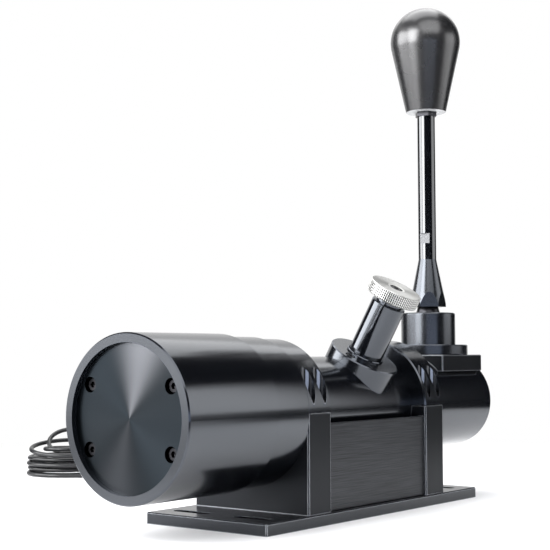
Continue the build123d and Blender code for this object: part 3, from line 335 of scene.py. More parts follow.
tongue_width, tongue_height, tongue_lift = 10.8 * mm, 1.7 * mm, 0.85 * mm
tongue_sunk, tongue_edge = 0.6 * mm, 0.15 * mm
shape = bmesh.new()
bmesh.ops.create_cube(shape, size=1)
for vert in shape.verts:
    x, y, z = vert.co
    reach = grip_length + (z + 0.5) * (shell_length - tongue_sunk)
    vert.co = plug_turn @ Vector((x * tongue_width, y * tongue_height - tongue_lift, reach))
bmesh.ops.bevel(shape, geom=shape.edges, offset=tongue_edge, segments=2, affect="EDGES")

# White PBT of the tongue, moulded: a clean white with a low, slightly cloudy shine.
plug_tongue, tree, moulded = new_material("white PBT, moulded")
place = add(tree, "TexCoord").outputs["Object"]
cloud = add(tree, "TexNoise", {"Vector": place, "Scale": 1 / (2 * mm)})
feed(tree, moulded, {"Base Color": linear("#e6e6e2")})
shades = add(tree, "MapRange", {"Value": cloud.outputs["Fac"], "To Min": 0.35, "To Max": 0.5})
feed(tree, moulded, {"Roughness": shades.outputs["Result"]})
tongue = finished("plug_tongue", shape, plug_tongue, "frame", "chip", "usb_plug")

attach(cable, "frame")
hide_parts("cable_lead", "cable_coil", "cable_tail")

# The cable's gland on the left panel: a nylon body with a ribbed, tapered strain relief
# outside and a hexagonal nut inside.
gland_low, gland_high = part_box("cable_gland")
gland_middle, gland_length = (gland_low + gland_high) / 2, gland_high[0] - gland_low[0]
flange_radius, flange_height, flange_edge = (gland_high[1] - gland_low[1]) / 2, 2.5 * mm, 0.5 * mm
gland_body, gland_reach, gland_ribs, gland_tip, gland_flare = 4.2 * mm, 12 * mm, 6, 2.2 * mm, 1 * mm
gland_bore = cable_radius + 0.2 * mm
gland_rib = [(0.2 * mm, 0), (1.3 * mm, 0.1 * mm), (1.45 * mm, -0.5 * mm), (1.9 * mm, -0.5 * mm)]
shape = bmesh.new()
rings = [(0, 0), (0, gland_bore)]
for rib in range(gland_ribs):
    start = rib * gland_reach / gland_ribs
    grown = gland_tip + (rib + 1) * gland_flare / gland_ribs
    rings += [(start + rise, grown + out) for rise, out in gland_rib]
rings += [(gland_reach, flange_radius - flange_edge), (gland_reach + flange_edge, flange_radius)]
rings += [(gland_reach + flange_height, flange_radius), (gland_reach + flange_height, gland_body)]
rings += [(gland_length, gland_body), (gland_length, 0)]
ringed(shape, stand_at((gland_low[0], gland_middle[1], gland_middle[2]), (1, 0, 0)), rings)

# Nylon, moulded: black and waxy, duller than the cable, with a faint mould texture.
gland_nylon, tree, moulded = new_material("black nylon, moulded")
place = add(tree, "TexCoord").outputs["Object"]
grain = add(tree, "TexNoise", {"Vector": place, "Scale": 1 / (0.8 * mm), "Detail": 2})
bump = add(tree, "Bump", {"Height": grain.outputs["Fac"], "Distance": 0.04 * mm, "Strength": 0.4})
feed(tree, moulded, {"Base Color": linear("#18191b"), "Roughness": 0.55, "IOR": 1.53})
feed(tree, moulded, {"Normal": bump.outputs["Normal"]})
finished("gland_relief", shape, gland_nylon, "frame", "cable", "cable_gland")
dress(gland_nylon, "gland_nut")

# The inner wires: thin PVC leads from the sensor board to the controller board and from
# there out to the gland.
dress(cable_jacket, "inner_wires")


# Black anodised aluminium: the dye sits in a hard clear oxide skin that mirrors like a dark
# glaze, stronger than glass does. The cutter's marks run across it. Along every edge the skin
# is paler and more metallic: partly thinner dye, partly a painted highlight on the edges.
def anodised(name, roughness, across, pitch, depth, skin_index=1.9, dye="#07080b", wear_and_highlight_tone="#4a4d54"):
    """The skin of one way of machining: its marks lie across an axis, a pitch apart."""
    made, tree, skin = new_material(name)
    edge_radius, edge_begins, edge_full, edge_metal = 0.7 * mm, 0.995, 0.93, 0.85
    place = add(tree, "TexCoord").outputs["Object"]
    scale = [1 / (60 * mm)] * 3
    scale[across] = 1 / pitch
    stretched = add(tree, "Mapping", {"Vector": place, "Scale": scale}).outputs["Vector"]
    marks = add(tree, "TexNoise", {"Vector": stretched, "Scale": 1, "Detail": 2}).outputs["Fac"]
    handled = add(tree, "TexNoise", {"Vector": place, "Scale": 1 / (30 * mm), "Detail": 4})
    shine = {"Value": handled.outputs["Fac"], "To Min": roughness * 0.8, "To Max": roughness * 1.2}
    uneven = add(tree, "MapRange", shine).outputs["Result"]
    rounded = add(tree, "Bevel", {"Radius": edge_radius}, samples=4).outputs["Normal"]
    flat = add(tree, "NewGeometry").outputs["Normal"]
    agree = add(tree, "VectorMath", {0: rounded, 1: flat}, operation="DOT_PRODUCT").outputs["Value"]
    edge_sizes = {"Value": agree, "From Min": edge_begins, "From Max": edge_full}
    edge = add(tree, "MapRange", edge_sizes).outputs["Result"]
    metal = add(tree, "Math", {0: edge, 1: edge_metal}, operation="MULTIPLY").outputs[0]
    # Edges: a paler, more metallic tone, part wear of the dye and part painted edge highlight.
    dyed, wear_and_highlight = linear(dye), linear(wear_and_highlight_tone)
    tone = add(tree, "Mix", {0: edge, 6: dyed, 7: wear_and_highlight}, data_type="RGBA")
    bump = add(tree, "Bump", {"Height": marks, "Distance": depth, "Strength": 0.2})
    feed(tree, skin, {"Base Color": tone.outputs[2], "Metallic": metal, "Roughness": uneven})
    feed(tree, skin, {"Normal": bump.outputs["Normal"], "IOR": skin_index})
    feed(tree, skin, {"Specular Tint": linear("#e4ebf6")})
    return made


# The base plate is sawn from flat bar and milled, then anodised black; the two stands are
# blocks milled all over. Four screws from below hold each stand.
mill_pitch, mill_depth, worn_highlit_edge = 0.8 * mm, 0.004 * mm, "#b4b7bd"
milled_black = anodised(
    "black anodised aluminium, milled", 0.36, 1, mill_pitch, mill_depth, 1.36, wear_and_highlight_tone=worn_highlit_edge
)
dress(milled_black, "front_stand", "rear_stand")
flat_black = anodised(
    "black anodised aluminium, flycut", 0.24, 1, mill_pitch, mill_depth, 1.6, wear_and_highlight_tone=worn_highlit_edge
)
dress(flat_black, "base_plate")


def cap_screw(shape, seat, along, thread, grip):
    """A socket cap screw: a head with a knurled side and a hexagon socket, and a thread."""
    head_radius, socket = 0.875 * thread, 0.375 * thread
    place = stand_at(seat, along)
    pitch = 0.175 * thread
    flutes = 24

    def knurled(angle):
        return head_radius - 0.04 * thread * (round(angle / math.tau * 2 * flutes) % 2)

    def hexagon(angle):
        return socket / math.cos((angle % (math.pi / 3)) - math.pi / 6)

    rings = [(-grip, 0), (-grip, 0.38 * thread)]
    for turn in range(int(grip / pitch) - 1):
        start = -grip + (turn + 0.4) * pitch
        rings += [(start, 0.5 * thread), (start + pitch / 2, 0.42 * thread)]
    rings += [(0, 0.5 * thread), (0, 0.82 * thread), (0.06 * thread, knurled)]
    rings += [(0.84 * thread, knurled), (0.86 * thread, head_radius - 0.045 * thread)]
    rings += [(thread, 0.74 * thread), (thread, 0.5 * thread), (thread, hexagon)]
    rings += [(0.5 * thread, hexagon), (0.38 * thread, 0)]
    ringed(shape, place, rings)


def cap_screws(name, node, seats, along, thread, grip, body="frame"):
    """Make a group of like screws as one piece."""
    shape = bmesh.new()
    for seat in seats:
        cap_screw(shape, seat, along, thread, grip)
    finished(name, shape, oiled_black, body, "black_steel", node)


# Black oxide steel: the alloy screws are blued in a hot salt bath and oiled, a black
# metal that shines where the oil lies.
oiled_black, tree, blued = new_material("alloy steel, black oxide")
place = add(tree, "TexCoord").outputs["Object"]
oil = add(tree, "TexNoise", {"Vector": place, "Scale": 1 / (3 * mm), "Detail": 3})
film = add(tree, "MapRange", {"Value": oil.outputs["Fac"], "To Min": 0.2, "To Max": 0.42})
tones = {0: oil.outputs["Fac"], 6: linear("#2c2c2f"), 7: linear("#3a3a3d")}
tone = add(tree, "Mix", tones, data_type="RGBA")
feed(tree, blued, {"Metallic": 1.0, "Base Color": tone.outputs[2]})
feed(tree, blued, {"Roughness": film.outputs["Result"]})

screw_thread, head_radius = 4 * mm, 3.5 * mm
stands = {name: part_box(name) for name in ("front_stand", "rear_stand")}
stand_middles = [(low[1] + high[1]) / 2 for low, high in stands.values()]
foot_low, foot_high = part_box("foot_screws")
foot_reach = foot_high[0] - head_radius
foot_seat = foot_low[2] + screw_thread
foot_grip = foot_high[2] - foot_seat
foot_shares = (-1, -0.40625, 0.40625, 1)
seats = [(share * foot_reach, y, foot_seat) for y in stand_middles for share in foot_shares]
cap_screws("foot_cap_screws", "foot_screws", seats, (0, 0, -1), screw_thread, foot_grip)

# The clamp caps close over the tube: turned outside, bored inside and slit from the stands,
# with a pocket for each of the four screws that draw them down. The pockets are sunk after
# anodising, so their walls are bare and bright.
turned_black = anodised("black anodised aluminium, turned", 0.17, 1, 0.5 * mm, 0.006 * mm)
clamp_low, clamp_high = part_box("clamp_screws")
clamp_reach = clamp_high[0] - head_radius
clamp_seat = clamp_high[2] - screw_thread
clamp_spread = clamp_high[1] - head_radius - stand_middles[1]
pocket_radius = head_radius + 0.56 * mm


def lay_bare_or_painted_tone(tree, skin, where, colour):
    """Show bare metal or a painted tone on an anodised skin where a value is one."""
    dyed = skin.inputs["Base Color"].links[0].from_socket
    tone = add(tree, "Mix", {0: where, 6: dyed, 7: linear(colour)}, data_type="RGBA")
    feed(tree, skin, {"Base Color": tone.outputs[2]})


for cap_name, middle in zip(("front_clamp_cap", "rear_clamp_cap"), stand_middles):
    cap_skin = turned_black.copy()
    cap_skin.name = "black anodised aluminium, turned, with bare screw pockets"
    tree = cap_skin.node_tree
    skin = tree.nodes["Principled BSDF"]
    spot = add(tree, "SeparateXYZ", {0: add(tree, "TexCoord").outputs["Object"]})
    right_way = add(tree, "Math", {0: spot.outputs["X"]}, operation="ABSOLUTE").outputs[0]
    off_right = add(tree, "Math", {0: right_way, 1: clamp_reach}, operation="SUBTRACT").outputs[0]
    along = add(tree, "Math", {0: spot.outputs["Y"], 1: middle}, operation="SUBTRACT").outputs[0]
    along = add(tree, "Math", {0: along}, operation="ABSOLUTE").outputs[0]
    off_along = add(tree, "Math", {0: along, 1: clamp_spread}, operation="SUBTRACT").outputs[0]
    offset = add(tree, "CombineXYZ", {0: off_right, 1: off_along}).outputs[0]
    away = add(tree, "VectorMath", {0: offset}, operation="LENGTH").outputs["Value"]
    bare = add(tree, "Math", {0: away, 1: pocket_radius}, operation="LESS_THAN").outputs[0]
    lay_bare_or_painted_tone(tree, skin, bare, "#8e9095")
    wear_and_highlight = skin.inputs["Metallic"].links[0].from_socket
    metal = add(tree, "Math", {0: bare, 1: wear_and_highlight}, operation="MAXIMUM").outputs[0]
    feed(tree, skin, {"Metallic": metal})
    dress(cap_skin, cap_name)

both_ways = (-1, 1)
clamp_grip = clamp_seat - clamp_low[2]
seats = [
    (side * clamp_reach, y + end * clamp_spread, clamp_seat)
    for y in stand_middles
    for side in both_ways
    for end in both_ways
]
cap_screws("clamp_cap_screws", "clamp_screws", seats, (0, 0, 1), screw_thread, clamp_grip)

# The side panels are aluminium sheet, brushed lengthwise on a belt and anodised dark. The
# brush lines scatter light up and down, so the panel looks greyer than its stands. The
# real lines are finer than a picture shows, so they are drawn about three times as wide.
brushed_panel, tree, brushed = new_material("black anodised aluminium, brushed")
place = add(tree, "TexCoord").outputs["Object"]
line_width, line_length = 0.28 * mm, 25 * mm
scale = (1 / line_width, 1 / line_length, 1 / line_width)
lines = add(tree, "Mapping", {"Vector": place, "Scale": scale}).outputs["Vector"]
scratches = add(tree, "TexNoise", {"Vector": lines, "Scale": 1, "Detail": 4}).outputs["Fac"]
spread = add(tree, "MapRange", {"Value": scratches, "From Min": 0.3, "From Max": 0.7})
tones = {0: spread.outputs["Result"], 6: linear("#1d1e21"), 7: linear("#404246")}
tone = add(tree, "Mix", tones, data_type="RGBA")
bump = add(tree, "Bump", {"Height": scratches, "Distance": 0.06 * mm, "Strength": 0.35})
feed(tree, brushed, {"Metallic": 0.5, "Roughness": 0.42, "Base Color": tone.outputs[2]})
feed(tree, brushed, {"Normal": bump.outputs["Normal"]})
dress(brushed_panel, "right_side_panel", "left_side_panel")

# The centre tube, its rear plug and the two parts of the drum are turned from bar and
# anodised black, with a bright even polish round them.
dress(turned_black, "centre_tube", "rear_plug", "drum_ring", "drum_cup")

# The end disc is faced on the lathe from the rim to the middle. Its ring grooves draw light
# into two fans through the middle, and these fans are painted into the metal's colour as a
# painted highlight, the lower one fainter.
disc_low, disc_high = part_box("end_disc")
disc_z = (disc_low[2] + disc_high[2]) / 2
faced_disc, tree, faced = new_material("black anodised aluminium, faced on the lathe")
place = add(tree, "TexCoord").outputs["Object"]
centred = add(tree, "Mapping", {"Vector": place, "Location": (0, 0, -disc_z), "Scale": (1, 0, 1)})
reach = add(tree, "VectorMath", {0: centred.outputs["Vector"]}, operation="LENGTH").outputs["Value"]
groove_pitch = 0.35 * mm
along = add(tree, "Math", {0: reach, 1: groove_pitch}, operation="DIVIDE").outputs[0]
grooves = add(tree, "TexNoise", {"W": along, "Scale": 1.0, "Detail": 3}, noise_dimensions="1D")
ring_way = add(tree, "Tangent", direction_type="RADIAL", axis="Y").outputs["Tangent"]
# Painted highlight: a pale fan up and down through the middle, the lower half fainter.
fan_lean, fan_power, lower_fan = math.radians(14), 16, 0.22
fan_way = (math.sin(fan_lean), 0, math.cos(fan_lean))
onto = add(tree, "VectorMath", {0: centred.outputs["Vector"], 1: fan_way}, operation="DOT_PRODUCT")
share = add(tree, "Math", {0: onto.outputs["Value"], 1: reach}, operation="DIVIDE").outputs[0]
size = add(tree, "Math", {0: share}, operation="ABSOLUTE").outputs[0]
painted_fan_blade = add(tree, "Math", {0: size, 1: fan_power}, operation="POWER").outputs[0]
upper = {"Value": share, "From Min": -1, "From Max": 1, "To Min": lower_fan, "To Max": 1.0}
painted_fan_light = add(tree, "MapRange", upper).outputs["Result"]
light = add(tree, "Math", {0: painted_fan_blade, 1: painted_fan_light}, operation="MULTIPLY").outputs[0]
tones = {0: grooves.outputs["Fac"], 6: linear("#191d21"), 7: linear("#23282c")}
dark = add(tree, "Mix", tones, data_type="RGBA").outputs[2]
tone = add(tree, "Mix", {0: light, 6: dark, 7: linear("#7a7c81")}, data_type="RGBA")
bump = add(tree, "Bump", {"Height": grooves.outputs["Fac"], "Distance": 0.01 * mm, "Strength": 0.15})
feed(tree, faced, {"Metallic": 1.0, "Roughness": 0.42, "Anisotropic": 0.85})
feed(tree, faced, {"Base Color": tone.outputs[2], "Tangent": ring_way})
feed(tree, faced, {"Normal": bump.outputs["Normal"]})
dress(faced_disc, "end_disc")

disc_screws_low, disc_screws_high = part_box("end_disc_screws")
disc_reach = disc_screws_high[0] - head_radius
disc_rise = disc_screws_high[2] - head_radius - disc_z
disc_seat = disc_screws_low[1] + screw_thread
disc_grip = disc_screws_high[1] - disc_seat
seats = [
    (side * disc_reach, disc_seat, disc_z + up * disc_rise) for side in both_ways for up in both_ways
]
cap_screws("end_disc_cap_screws", "end_disc_screws", seats, (0, -1, 0), screw_thread, disc_grip)

# Acetal, machined: the bushes, ball seats, gate ring, guide sleeve and plunger are a white
# slippery plastic, slightly see-through at thin edges, with turning marks.
acetal, tree, machined = new_material("natural acetal, machined")
place = add(tree, "TexCoord").outputs["Object"]
turning = add(tree, "TexNoise", {"Vector": place, "Scale": 1 / (0.6 * mm), "Detail": 2})
bump = add(tree, "Bump", {"Height": turning.outputs["Fac"], "Distance": 0.01 * mm, "Strength": 0.3})
feed(tree, machined, {"Base Color": linear("#e9e8e2"), "Roughness": 0.38, "IOR": 1.48})
feed(tree, machined, {"Normal": bump.outputs["Normal"]})
dress(acetal, "shaft_bushes", "gate_ring", "lower_ball_seat", "upper_ball_seat")
dress(acetal, "guide_sleeve", "plunger")

# Ground steel: the selector shaft and what is clamped or pinned to it, the ball's cross pin
# and the adjuster's spindle are bright, with fine grinding lines that soften the shine.
ground_steel, tree, ground = new_material("carbon steel, ground")
place = add(tree, "TexCoord").outputs["Object"]
grind_length, grind_pitch = 50 / 3 * mm, 0.4 * mm
scale = (1 / grind_length, 1 / grind_pitch, 1 / grind_length)
stretched = add(tree, "Mapping", {"Vector": place, "Scale": scale}).outputs["Vector"]
lines = add(tree, "TexNoise", {"Vector": stretched, "Scale": 1, "Detail": 2}).outputs["Fac"]
shine = add(tree, "MapRange", {"Value": lines, "To Min": 0.18, "To Max": 0.34}).outputs["Result"]
feed(tree, ground, {"Base Color": linear("#b4b5b7"), "Metallic": 1.0, "Roughness": shine})
dress(ground_steel, "selector_shaft", "shaft_yoke", "shaft_collars", "gate_hub", "gate_pin")
dress(ground_steel, "cross_pin", "adjuster_spindle")
dress(oiled_black, "yoke_screw", "lock_nut")
dress(plug_shell, "shaft_magnet")

# Spring wire: patented steel, drawn through a die and coiled cold, grey with a soft sheen.
spring_wire, tree, drawn = new_material("spring steel, drawn")
place = add(tree, "TexCoord").outputs["Object"]
draw = add(tree, "TexNoise", {"Vector": place, "Scale": 1 / (0.7 * mm), "Detail": 2}).outputs["Fac"]
sheen = add(tree, "MapRange", {"Value": draw, "To Min": 0.28, "To Max": 0.45}).outputs["Result"]
feed(tree, drawn, {"Base Color": linear("#8d8f92"), "Metallic": 1.0, "Roughness": sheen})
dress(spring_wire, "centring_spring")

# Brass, machined: the knob's insert, the adjuster's spring seat and the boards' posts, a
# bright yellow that tarnish browns in patches.
brass, tree, yellow = new_material("brass, machined")
place = add(tree, "TexCoord").outputs["Object"]
tarnish = add(tree, "TexNoise", {"Vector": place, "Scale": 1 / (4 * mm), "Detail": 3}).outputs["Fac"]
tones = {0: tarnish, 6: linear("#d4ad5c"), 7: linear("#b98f43")}
tone = add(tree, "Mix", tones, data_type="RGBA")
feed(tree, yellow, {"Metallic": 1.0, "Roughness": 0.3, "Base Color": tone.outputs[2]})
dress(brass, "knob_insert", "spring_seat", "board_posts")

# The circuit boards are glass epoxy under green solder mask: glossy, with the copper's
# lanes showing through a little lighter.
solder_mask, tree, board = new_material("glass epoxy, green solder mask")
place = add(tree, "TexCoord").outputs["Object"]
lane = 1.2 * mm
lanes = add(tree, "TexVoronoi", {"Vector": place, "Scale": 1 / (3 * lane)}, distance="MANHATTAN")
copper = add(tree, "MapRange", {"Value": lanes.outputs["Distance"], "From Min": 0.45, "From Max": 0.5})
tones = {0: copper.outputs["Result"], 6: linear("#0d4425"), 7: linear("#1a6a3a")}
tone = add(tree, "Mix", tones, data_type="RGBA")
feed(tree, board, {"Roughness": 0.25, "Base Color": tone.outputs[2]})
dress(solder_mask, "circuit_boards")
dress(plug_grip, "board_parts")

# The lever's seat: a block milled to sit on the tube, a turned flange let down onto it by
# four sunk screws, and a turned collar that holds the ball's seats.
polished_black = anodised("black anodised aluminium, polished", 0.11, 2, 0.6 * mm, 0.004 * mm)
satin_black = anodised("black anodised aluminium, lapped", 0.24, 2, 0.6 * mm, 0.004 * mm)
dress(milled_black, "saddle_block")
dress(satin_black, "lever_flange", "lever_collar")

flange_low, flange_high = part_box("flange_screws")
flange_seat = flange_high[2] - screw_thread
flange_middle = (flange_low[1] + flange_high[1]) / 2
flange_reach = flange_high[0] - head_radius
flange_grip = flange_seat - flange_low[2]
seats = [
    (side * flange_reach, flange_middle + end * flange_reach, flange_seat)
    for side in both_ways
    for end in both_ways
]
cap_screws("flange_cap_screws", "flange_screws", seats, (0, 0, 1), screw_thread, flange_grip)

# The lever: a blued arm and neck, a tapered base milled to a hexagon and lapped to a satin,
# and a polished rod, both anodised black. The rod's two spanner flats are milled after that
# and stay bare.
dress(oiled_black, "pivot_arm")
dress(satin_black, "lever_base")
base_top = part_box("lever_base")[1][2]
flat_start, flat_length, flat_turn = 10.9 * mm, 6.9 * mm, math.radians(11.75)
flat_margin, flat_aim, flat_rough = 0.05 * mm, 0.995, 0.5
rod_skin = polished_black.copy()
rod_skin.name = "black anodised aluminium, polished, with bare milled flats"
tree = rod_skin.node_tree
skin = tree.nodes["Principled BSDF"]
feed(tree, skin, {"Specular Tint": linear("#f6f8fb")})
spots = add(tree, "TexCoord")
height = add(tree, "SeparateXYZ", {0: spots.outputs["Object"]}).outputs["Z"]
middle = base_top + flat_start + flat_length / 2
offset = add(tree, "Math", {0: height, 1: middle}, operation="SUBTRACT").outputs[0]
near = add(tree, "Math", {0: offset}, operation="ABSOLUTE").outputs[0]
reach = flat_length / 2 + flat_margin
within = add(tree, "Math", {0: near, 1: reach}, operation="LESS_THAN").outputs[0]
facing = (-math.sin(flat_turn), math.cos(flat_turn), 0)
turn = add(tree, "VectorMath", {0: spots.outputs["Normal"], 1: facing}, operation="DOT_PRODUCT")
square = add(tree, "Math", {0: turn.outputs["Value"]}, operation="ABSOLUTE").outputs[0]
flat = add(tree, "Math", {0: square, 1: flat_aim}, operation="GREATER_THAN").outputs[0]
bare = add(tree, "Math", {0: flat, 1: within}, operation="MULTIPLY").outputs[0]
lay_bare_or_painted_tone(tree, skin, bare, "#707173")
cut = add(tree, "Math", {0: bare, 1: flat_rough}, operation="MULTIPLY").outputs[0]
polish = skin.inputs["Roughness"].links[0].from_socket
rough = add(tree, "Math", {0: cut, 1: polish}, operation="ADD").outputs[0]
feed(tree, skin, {"Roughness": rough})
dress(rod_skin, "lever_rod")

# The knob is turned from aluminium on a profile tool, bead-blasted and anodised black: a
# satin skin, so the lamps draw soft broad lights on it. Its underside, the faces that look
# down at the floor, is painted pale: a painted reflection of the white floor.
knob_low, knob_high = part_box("shift_knob")
knob_middle = (knob_low + knob_high) / 2
ball_radius = (knob_high[0] - knob_low[0]) / 2
ball_height = knob_high[2] - knob_low[2] - ball_radius
foot_radius, foot_edge, insert_radius, insert_depth = 13.5 * mm, 0.6 * mm, 6.05 * mm, 20 * mm
foot_slope = math.atan2(ball_height, foot_radius)
touch = math.acos(ball_radius / math.hypot(foot_radius, ball_height)) - foot_slope
rings = [(insert_depth, 0), (insert_depth, insert_radius), (0, insert_radius)]
rings += [(0, foot_radius - foot_edge)]
side_low = Vector((foot_radius, 0))
side_high = Vector((ball_radius * math.cos(touch), ball_height + ball_radius * math.sin(touch)))
side_steps, ball_steps = 24, 52
for i in range(side_steps):
    radius, height = side_low.lerp(side_high, (i + foot_edge / ball_height) / side_steps)
    rings.append((height, radius))
for i in range(ball_steps):
    angle = touch + (math.pi / 2 - touch) * i / ball_steps
    rings.append((ball_height + ball_radius * math.sin(angle), ball_radius * math.cos(angle)))
rings.append((ball_height + ball_radius, 0))
shape = bmesh.new()
ringed(shape, Matrix.Translation((knob_middle[0], knob_middle[1], knob_low[2])), rings, 180)
blasted_name = "black anodised aluminium, bead-blasted, with a faced foot"
blasted_black = anodised(blasted_name, 0.27, 2, 0.3 * mm, 0.001 * mm, 1.9, "#1d1d1e", "#343436")
tree = blasted_black.node_tree
skin = tree.nodes["Principled BSDF"]
feed(tree, skin, {"Specular Tint": linear("#f2f2f4")})
# Painted reflection: the faces that look down are painted pale, as the white floor shows in them.
down = add(tree, "SeparateXYZ", {0: add(tree, "TexCoord").outputs["Normal"]}).outputs["Z"]
underside_aim = -0.95
foot = add(tree, "Math", {0: down, 1: underside_aim}, operation="LESS_THAN").outputs[0]
lay_bare_or_painted_tone(tree, skin, foot, "#c4c5c7")
finished("knob", shape, blasted_black, "lever", "anodised", "shift_knob")

# The resistance adjuster leans to the right: a turned saddle on the tube with two screws, a
# barrel through it and a ring round the barrel's foot, all anodised black.
lean = math.radians(29.8)
leaning = Vector((math.sin(lean), 0, math.cos(lean)))
adjuster_start = Vector((0, 17.6 * mm, disc_z))


def on_adjuster(distance, offset=0.0):
    """A point at a distance up the adjuster's axis, offset along the tube."""
    return adjuster_start + leaning * distance + Vector((0, offset, 0))


dress(polished_black, "adjuster_barrel", "barrel_ring")
dress(turned_black, "adjuster_saddle")
saddle_thread, saddle_height, saddle_reach, saddle_grip = 3 * mm, 35.4 * mm, 15.3 * mm, 6.9 * mm
seats = [on_adjuster(saddle_height - saddle_thread, end * saddle_reach) for end in both_ways]
cap_screws("saddle_cap_screws", "saddle_screws", seats, leaning, saddle_thread, saddle_grip)

# The plunger's spring lies in the barrel in two halves that meet at its middle: a lower one at
# the plunger and an upper one at the seat.
coil_foot, coil_head, coil_radius, wire_radius = 36.65 * mm, 49.1 * mm, 4.6 * mm, 0.6 * mm
half_turns, turn_steps, wire_steps = 3, 24, 10
lift_travel, seat_travel = 2 * mm, 1 * mm
coil_middle_height, half_height = (coil_foot + coil_head) / 2, (coil_head - coil_foot) / 2
across = Vector((0, 1, 0))
aside = leaning.cross(across)
halves = (("plunger_spring_foot", coil_foot, "plunger_lift", lift_travel, ["plunger_spring"]),)
halves += (("plunger_spring_head", coil_middle_height, "seat_travel", seat_travel, []),)
for name, start, joint, travel, replaced in halves:
    shape = bmesh.new()
    loops = []
    for i in range(half_turns * turn_steps + 1):
        angle = math.tau * i / turn_steps
        outward = across * math.cos(angle) + aside * math.sin(angle)
        climb = half_height * i / (half_turns * turn_steps)
        point = on_adjuster(start + climb) + outward * coil_radius
        loop = []
        for j in range(wire_steps):
            turn = math.tau * j / wire_steps
            wire = outward * math.cos(turn) + leaning * math.sin(turn)
            loop.append(shape.verts.new(point + wire * wire_radius))
        loops.append(loop)
    for first, second in zip(loops, loops[1:]):
        for j in range(wire_steps):
            k = (j + 1) % wire_steps
            shape.faces.new([first[j], first[k], second[k], second[j]])
    shape.faces.new(loops[0])
    shape.faces.new(loops[-1])
    half = finished(name, shape, spring_wire, "frame", "spring_steel", *replaced)
    middle = on_adjuster(coil_middle_height)
    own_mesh(half)

# The adjuster's dial is turned from bare aluminium. Its rim is knurled square between two
# chamfers, and in the middle of its flat top a cap screw lies sunk in a wide countersink.
dial_start, dial_radius, dial_height, dial_chamfer = 74.0 * mm, 15.8 * mm, 7.3 * mm, 0.4 * mm
sink_radius, sink_depth, spindle_hole, dial_web = 5.8 * mm, 0.5 * mm, 3.05 * mm, 1.3 * mm
dial_thread, dial_grip, screw_head = 4 * mm, 4 * mm, 3.55 * mm
foot_ring, chamfer_step = 12 * mm, 0.05 * mm
knurl_count, knurl_depth, ring_depth = 80, 0.45 * mm, 0.16 * mm
knurl_rows, knurl_bands = 20, 5


def knurl(share):
    """The rim's radius round a ring at a share of its height: crossed grooves leave points."""

    def radius(angle):
        round_rim = abs(2 * (angle / math.tau * knurl_count % 1) - 1) ** 3
        up_rim = abs(2 * (share * knurl_bands % 1) - 1) ** 3
        return dial_radius - max(knurl_depth * round_rim, ring_depth * up_rim)

    return radius


pocket_floor = dial_height - sink_depth - dial_thread
rings = [(pocket_floor - dial_web, 0), (pocket_floor - dial_web, spindle_hole), (0, spindle_hole)]
rings += [(0, foot_ring), (0, dial_radius - dial_chamfer)]
rings.append((dial_chamfer - chamfer_step, dial_radius - chamfer_step))
for row in range(knurl_rows + 1):
    height = dial_chamfer + row * (dial_height - 2 * dial_chamfer) / knurl_rows
    rings.append((height, knurl(row / knurl_rows)))
rings.append((dial_height - dial_chamfer + chamfer_step, dial_radius - chamfer_step))
rings += [(dial_height, dial_radius - dial_chamfer), (dial_height, sink_radius)]
rings += [(dial_height - sink_depth, screw_head), (pocket_floor, screw_head), (pocket_floor, 0)]
shape = bmesh.new()
ringed(shape, stand_at(on_adjuster(dial_start), leaning), rings, 4 * knurl_count)

# Bare aluminium, turned: a pale warm metal with fine rings from the tool on its top, where
# pale and dark fans of light are painted into its colour as a painted reflection. The knurl's
# grooves are painted dark as painted shade, so its points stand out bright on a dark net.
bare_aluminium, tree, turned = new_material("aluminium, turned and knurled")
place = add(tree, "TexCoord").outputs["Object"]
ring_pitch, dial_fan_power, fan_least, fan_most = 0.25 * mm, 4, 0.15, 0.8
lid_margin, groove_shade_begins, groove_shade_full = 0.1 * mm, 0.06 * mm, 0.22 * mm
foot_point = on_adjuster(dial_start)
away = add(tree, "VectorMath", {0: place, 1: foot_point}, operation="SUBTRACT").outputs["Vector"]
round_it = add(tree, "VectorMath", {0: away, 1: leaning}, operation="CROSS_PRODUCT").outputs["Vector"]
reach = add(tree, "VectorMath", {0: round_it}, operation="LENGTH").outputs["Value"]
along = add(tree, "Math", {0: reach, 1: ring_pitch}, operation="DIVIDE").outputs[0]
rings_cut = add(tree, "TexNoise", {"W": along, "Scale": 1.0, "Detail": 2}, noise_dimensions="1D")
shine = add(tree, "MapRange", {"Value": rings_cut.outputs["Fac"], "To Min": 0.34, "To Max": 0.5})
tones = {0: rings_cut.outputs["Fac"], 6: linear("#cfcfcd"), 7: linear("#e4e4e2")}
cut = add(tree, "Mix", tones, data_type="RGBA").outputs[2]
# Painted reflection: dark fans across the top, painted into the metal's colour.
up = add(tree, "VectorMath", {0: away, 1: leaning}, operation="DOT_PRODUCT").outputs["Value"]
fan_way = leaning.cross(Vector((leaning.z, 1, -leaning.x))).normalized()
around = add(tree, "VectorMath", {0: round_it}, operation="NORMALIZE").outputs["Vector"]
onto = add(tree, "VectorMath", {0: around, 1: fan_way}, operation="DOT_PRODUCT").outputs["Value"]
size = add(tree, "Math", {0: onto}, operation="ABSOLUTE").outputs[0]
painted_fan_blade = add(tree, "Math", {0: size, 1: dial_fan_power}, operation="POWER").outputs[0]
lid = add(tree, "Math", {0: up, 1: dial_height - lid_margin}, operation="GREATER_THAN").outputs[0]
fan_sizes = {"Value": painted_fan_blade, "To Min": fan_least, "To Max": fan_most}
shade = add(tree, "MapRange", fan_sizes).outputs["Result"]
painted_fan_shade = add(tree, "Math", {0: shade, 1: lid}, operation="MULTIPLY").outputs[0]
cut = add(tree, "Mix", {0: painted_fan_shade, 6: cut, 7: linear("#7a7a78")}, data_type="RGBA").outputs[2]
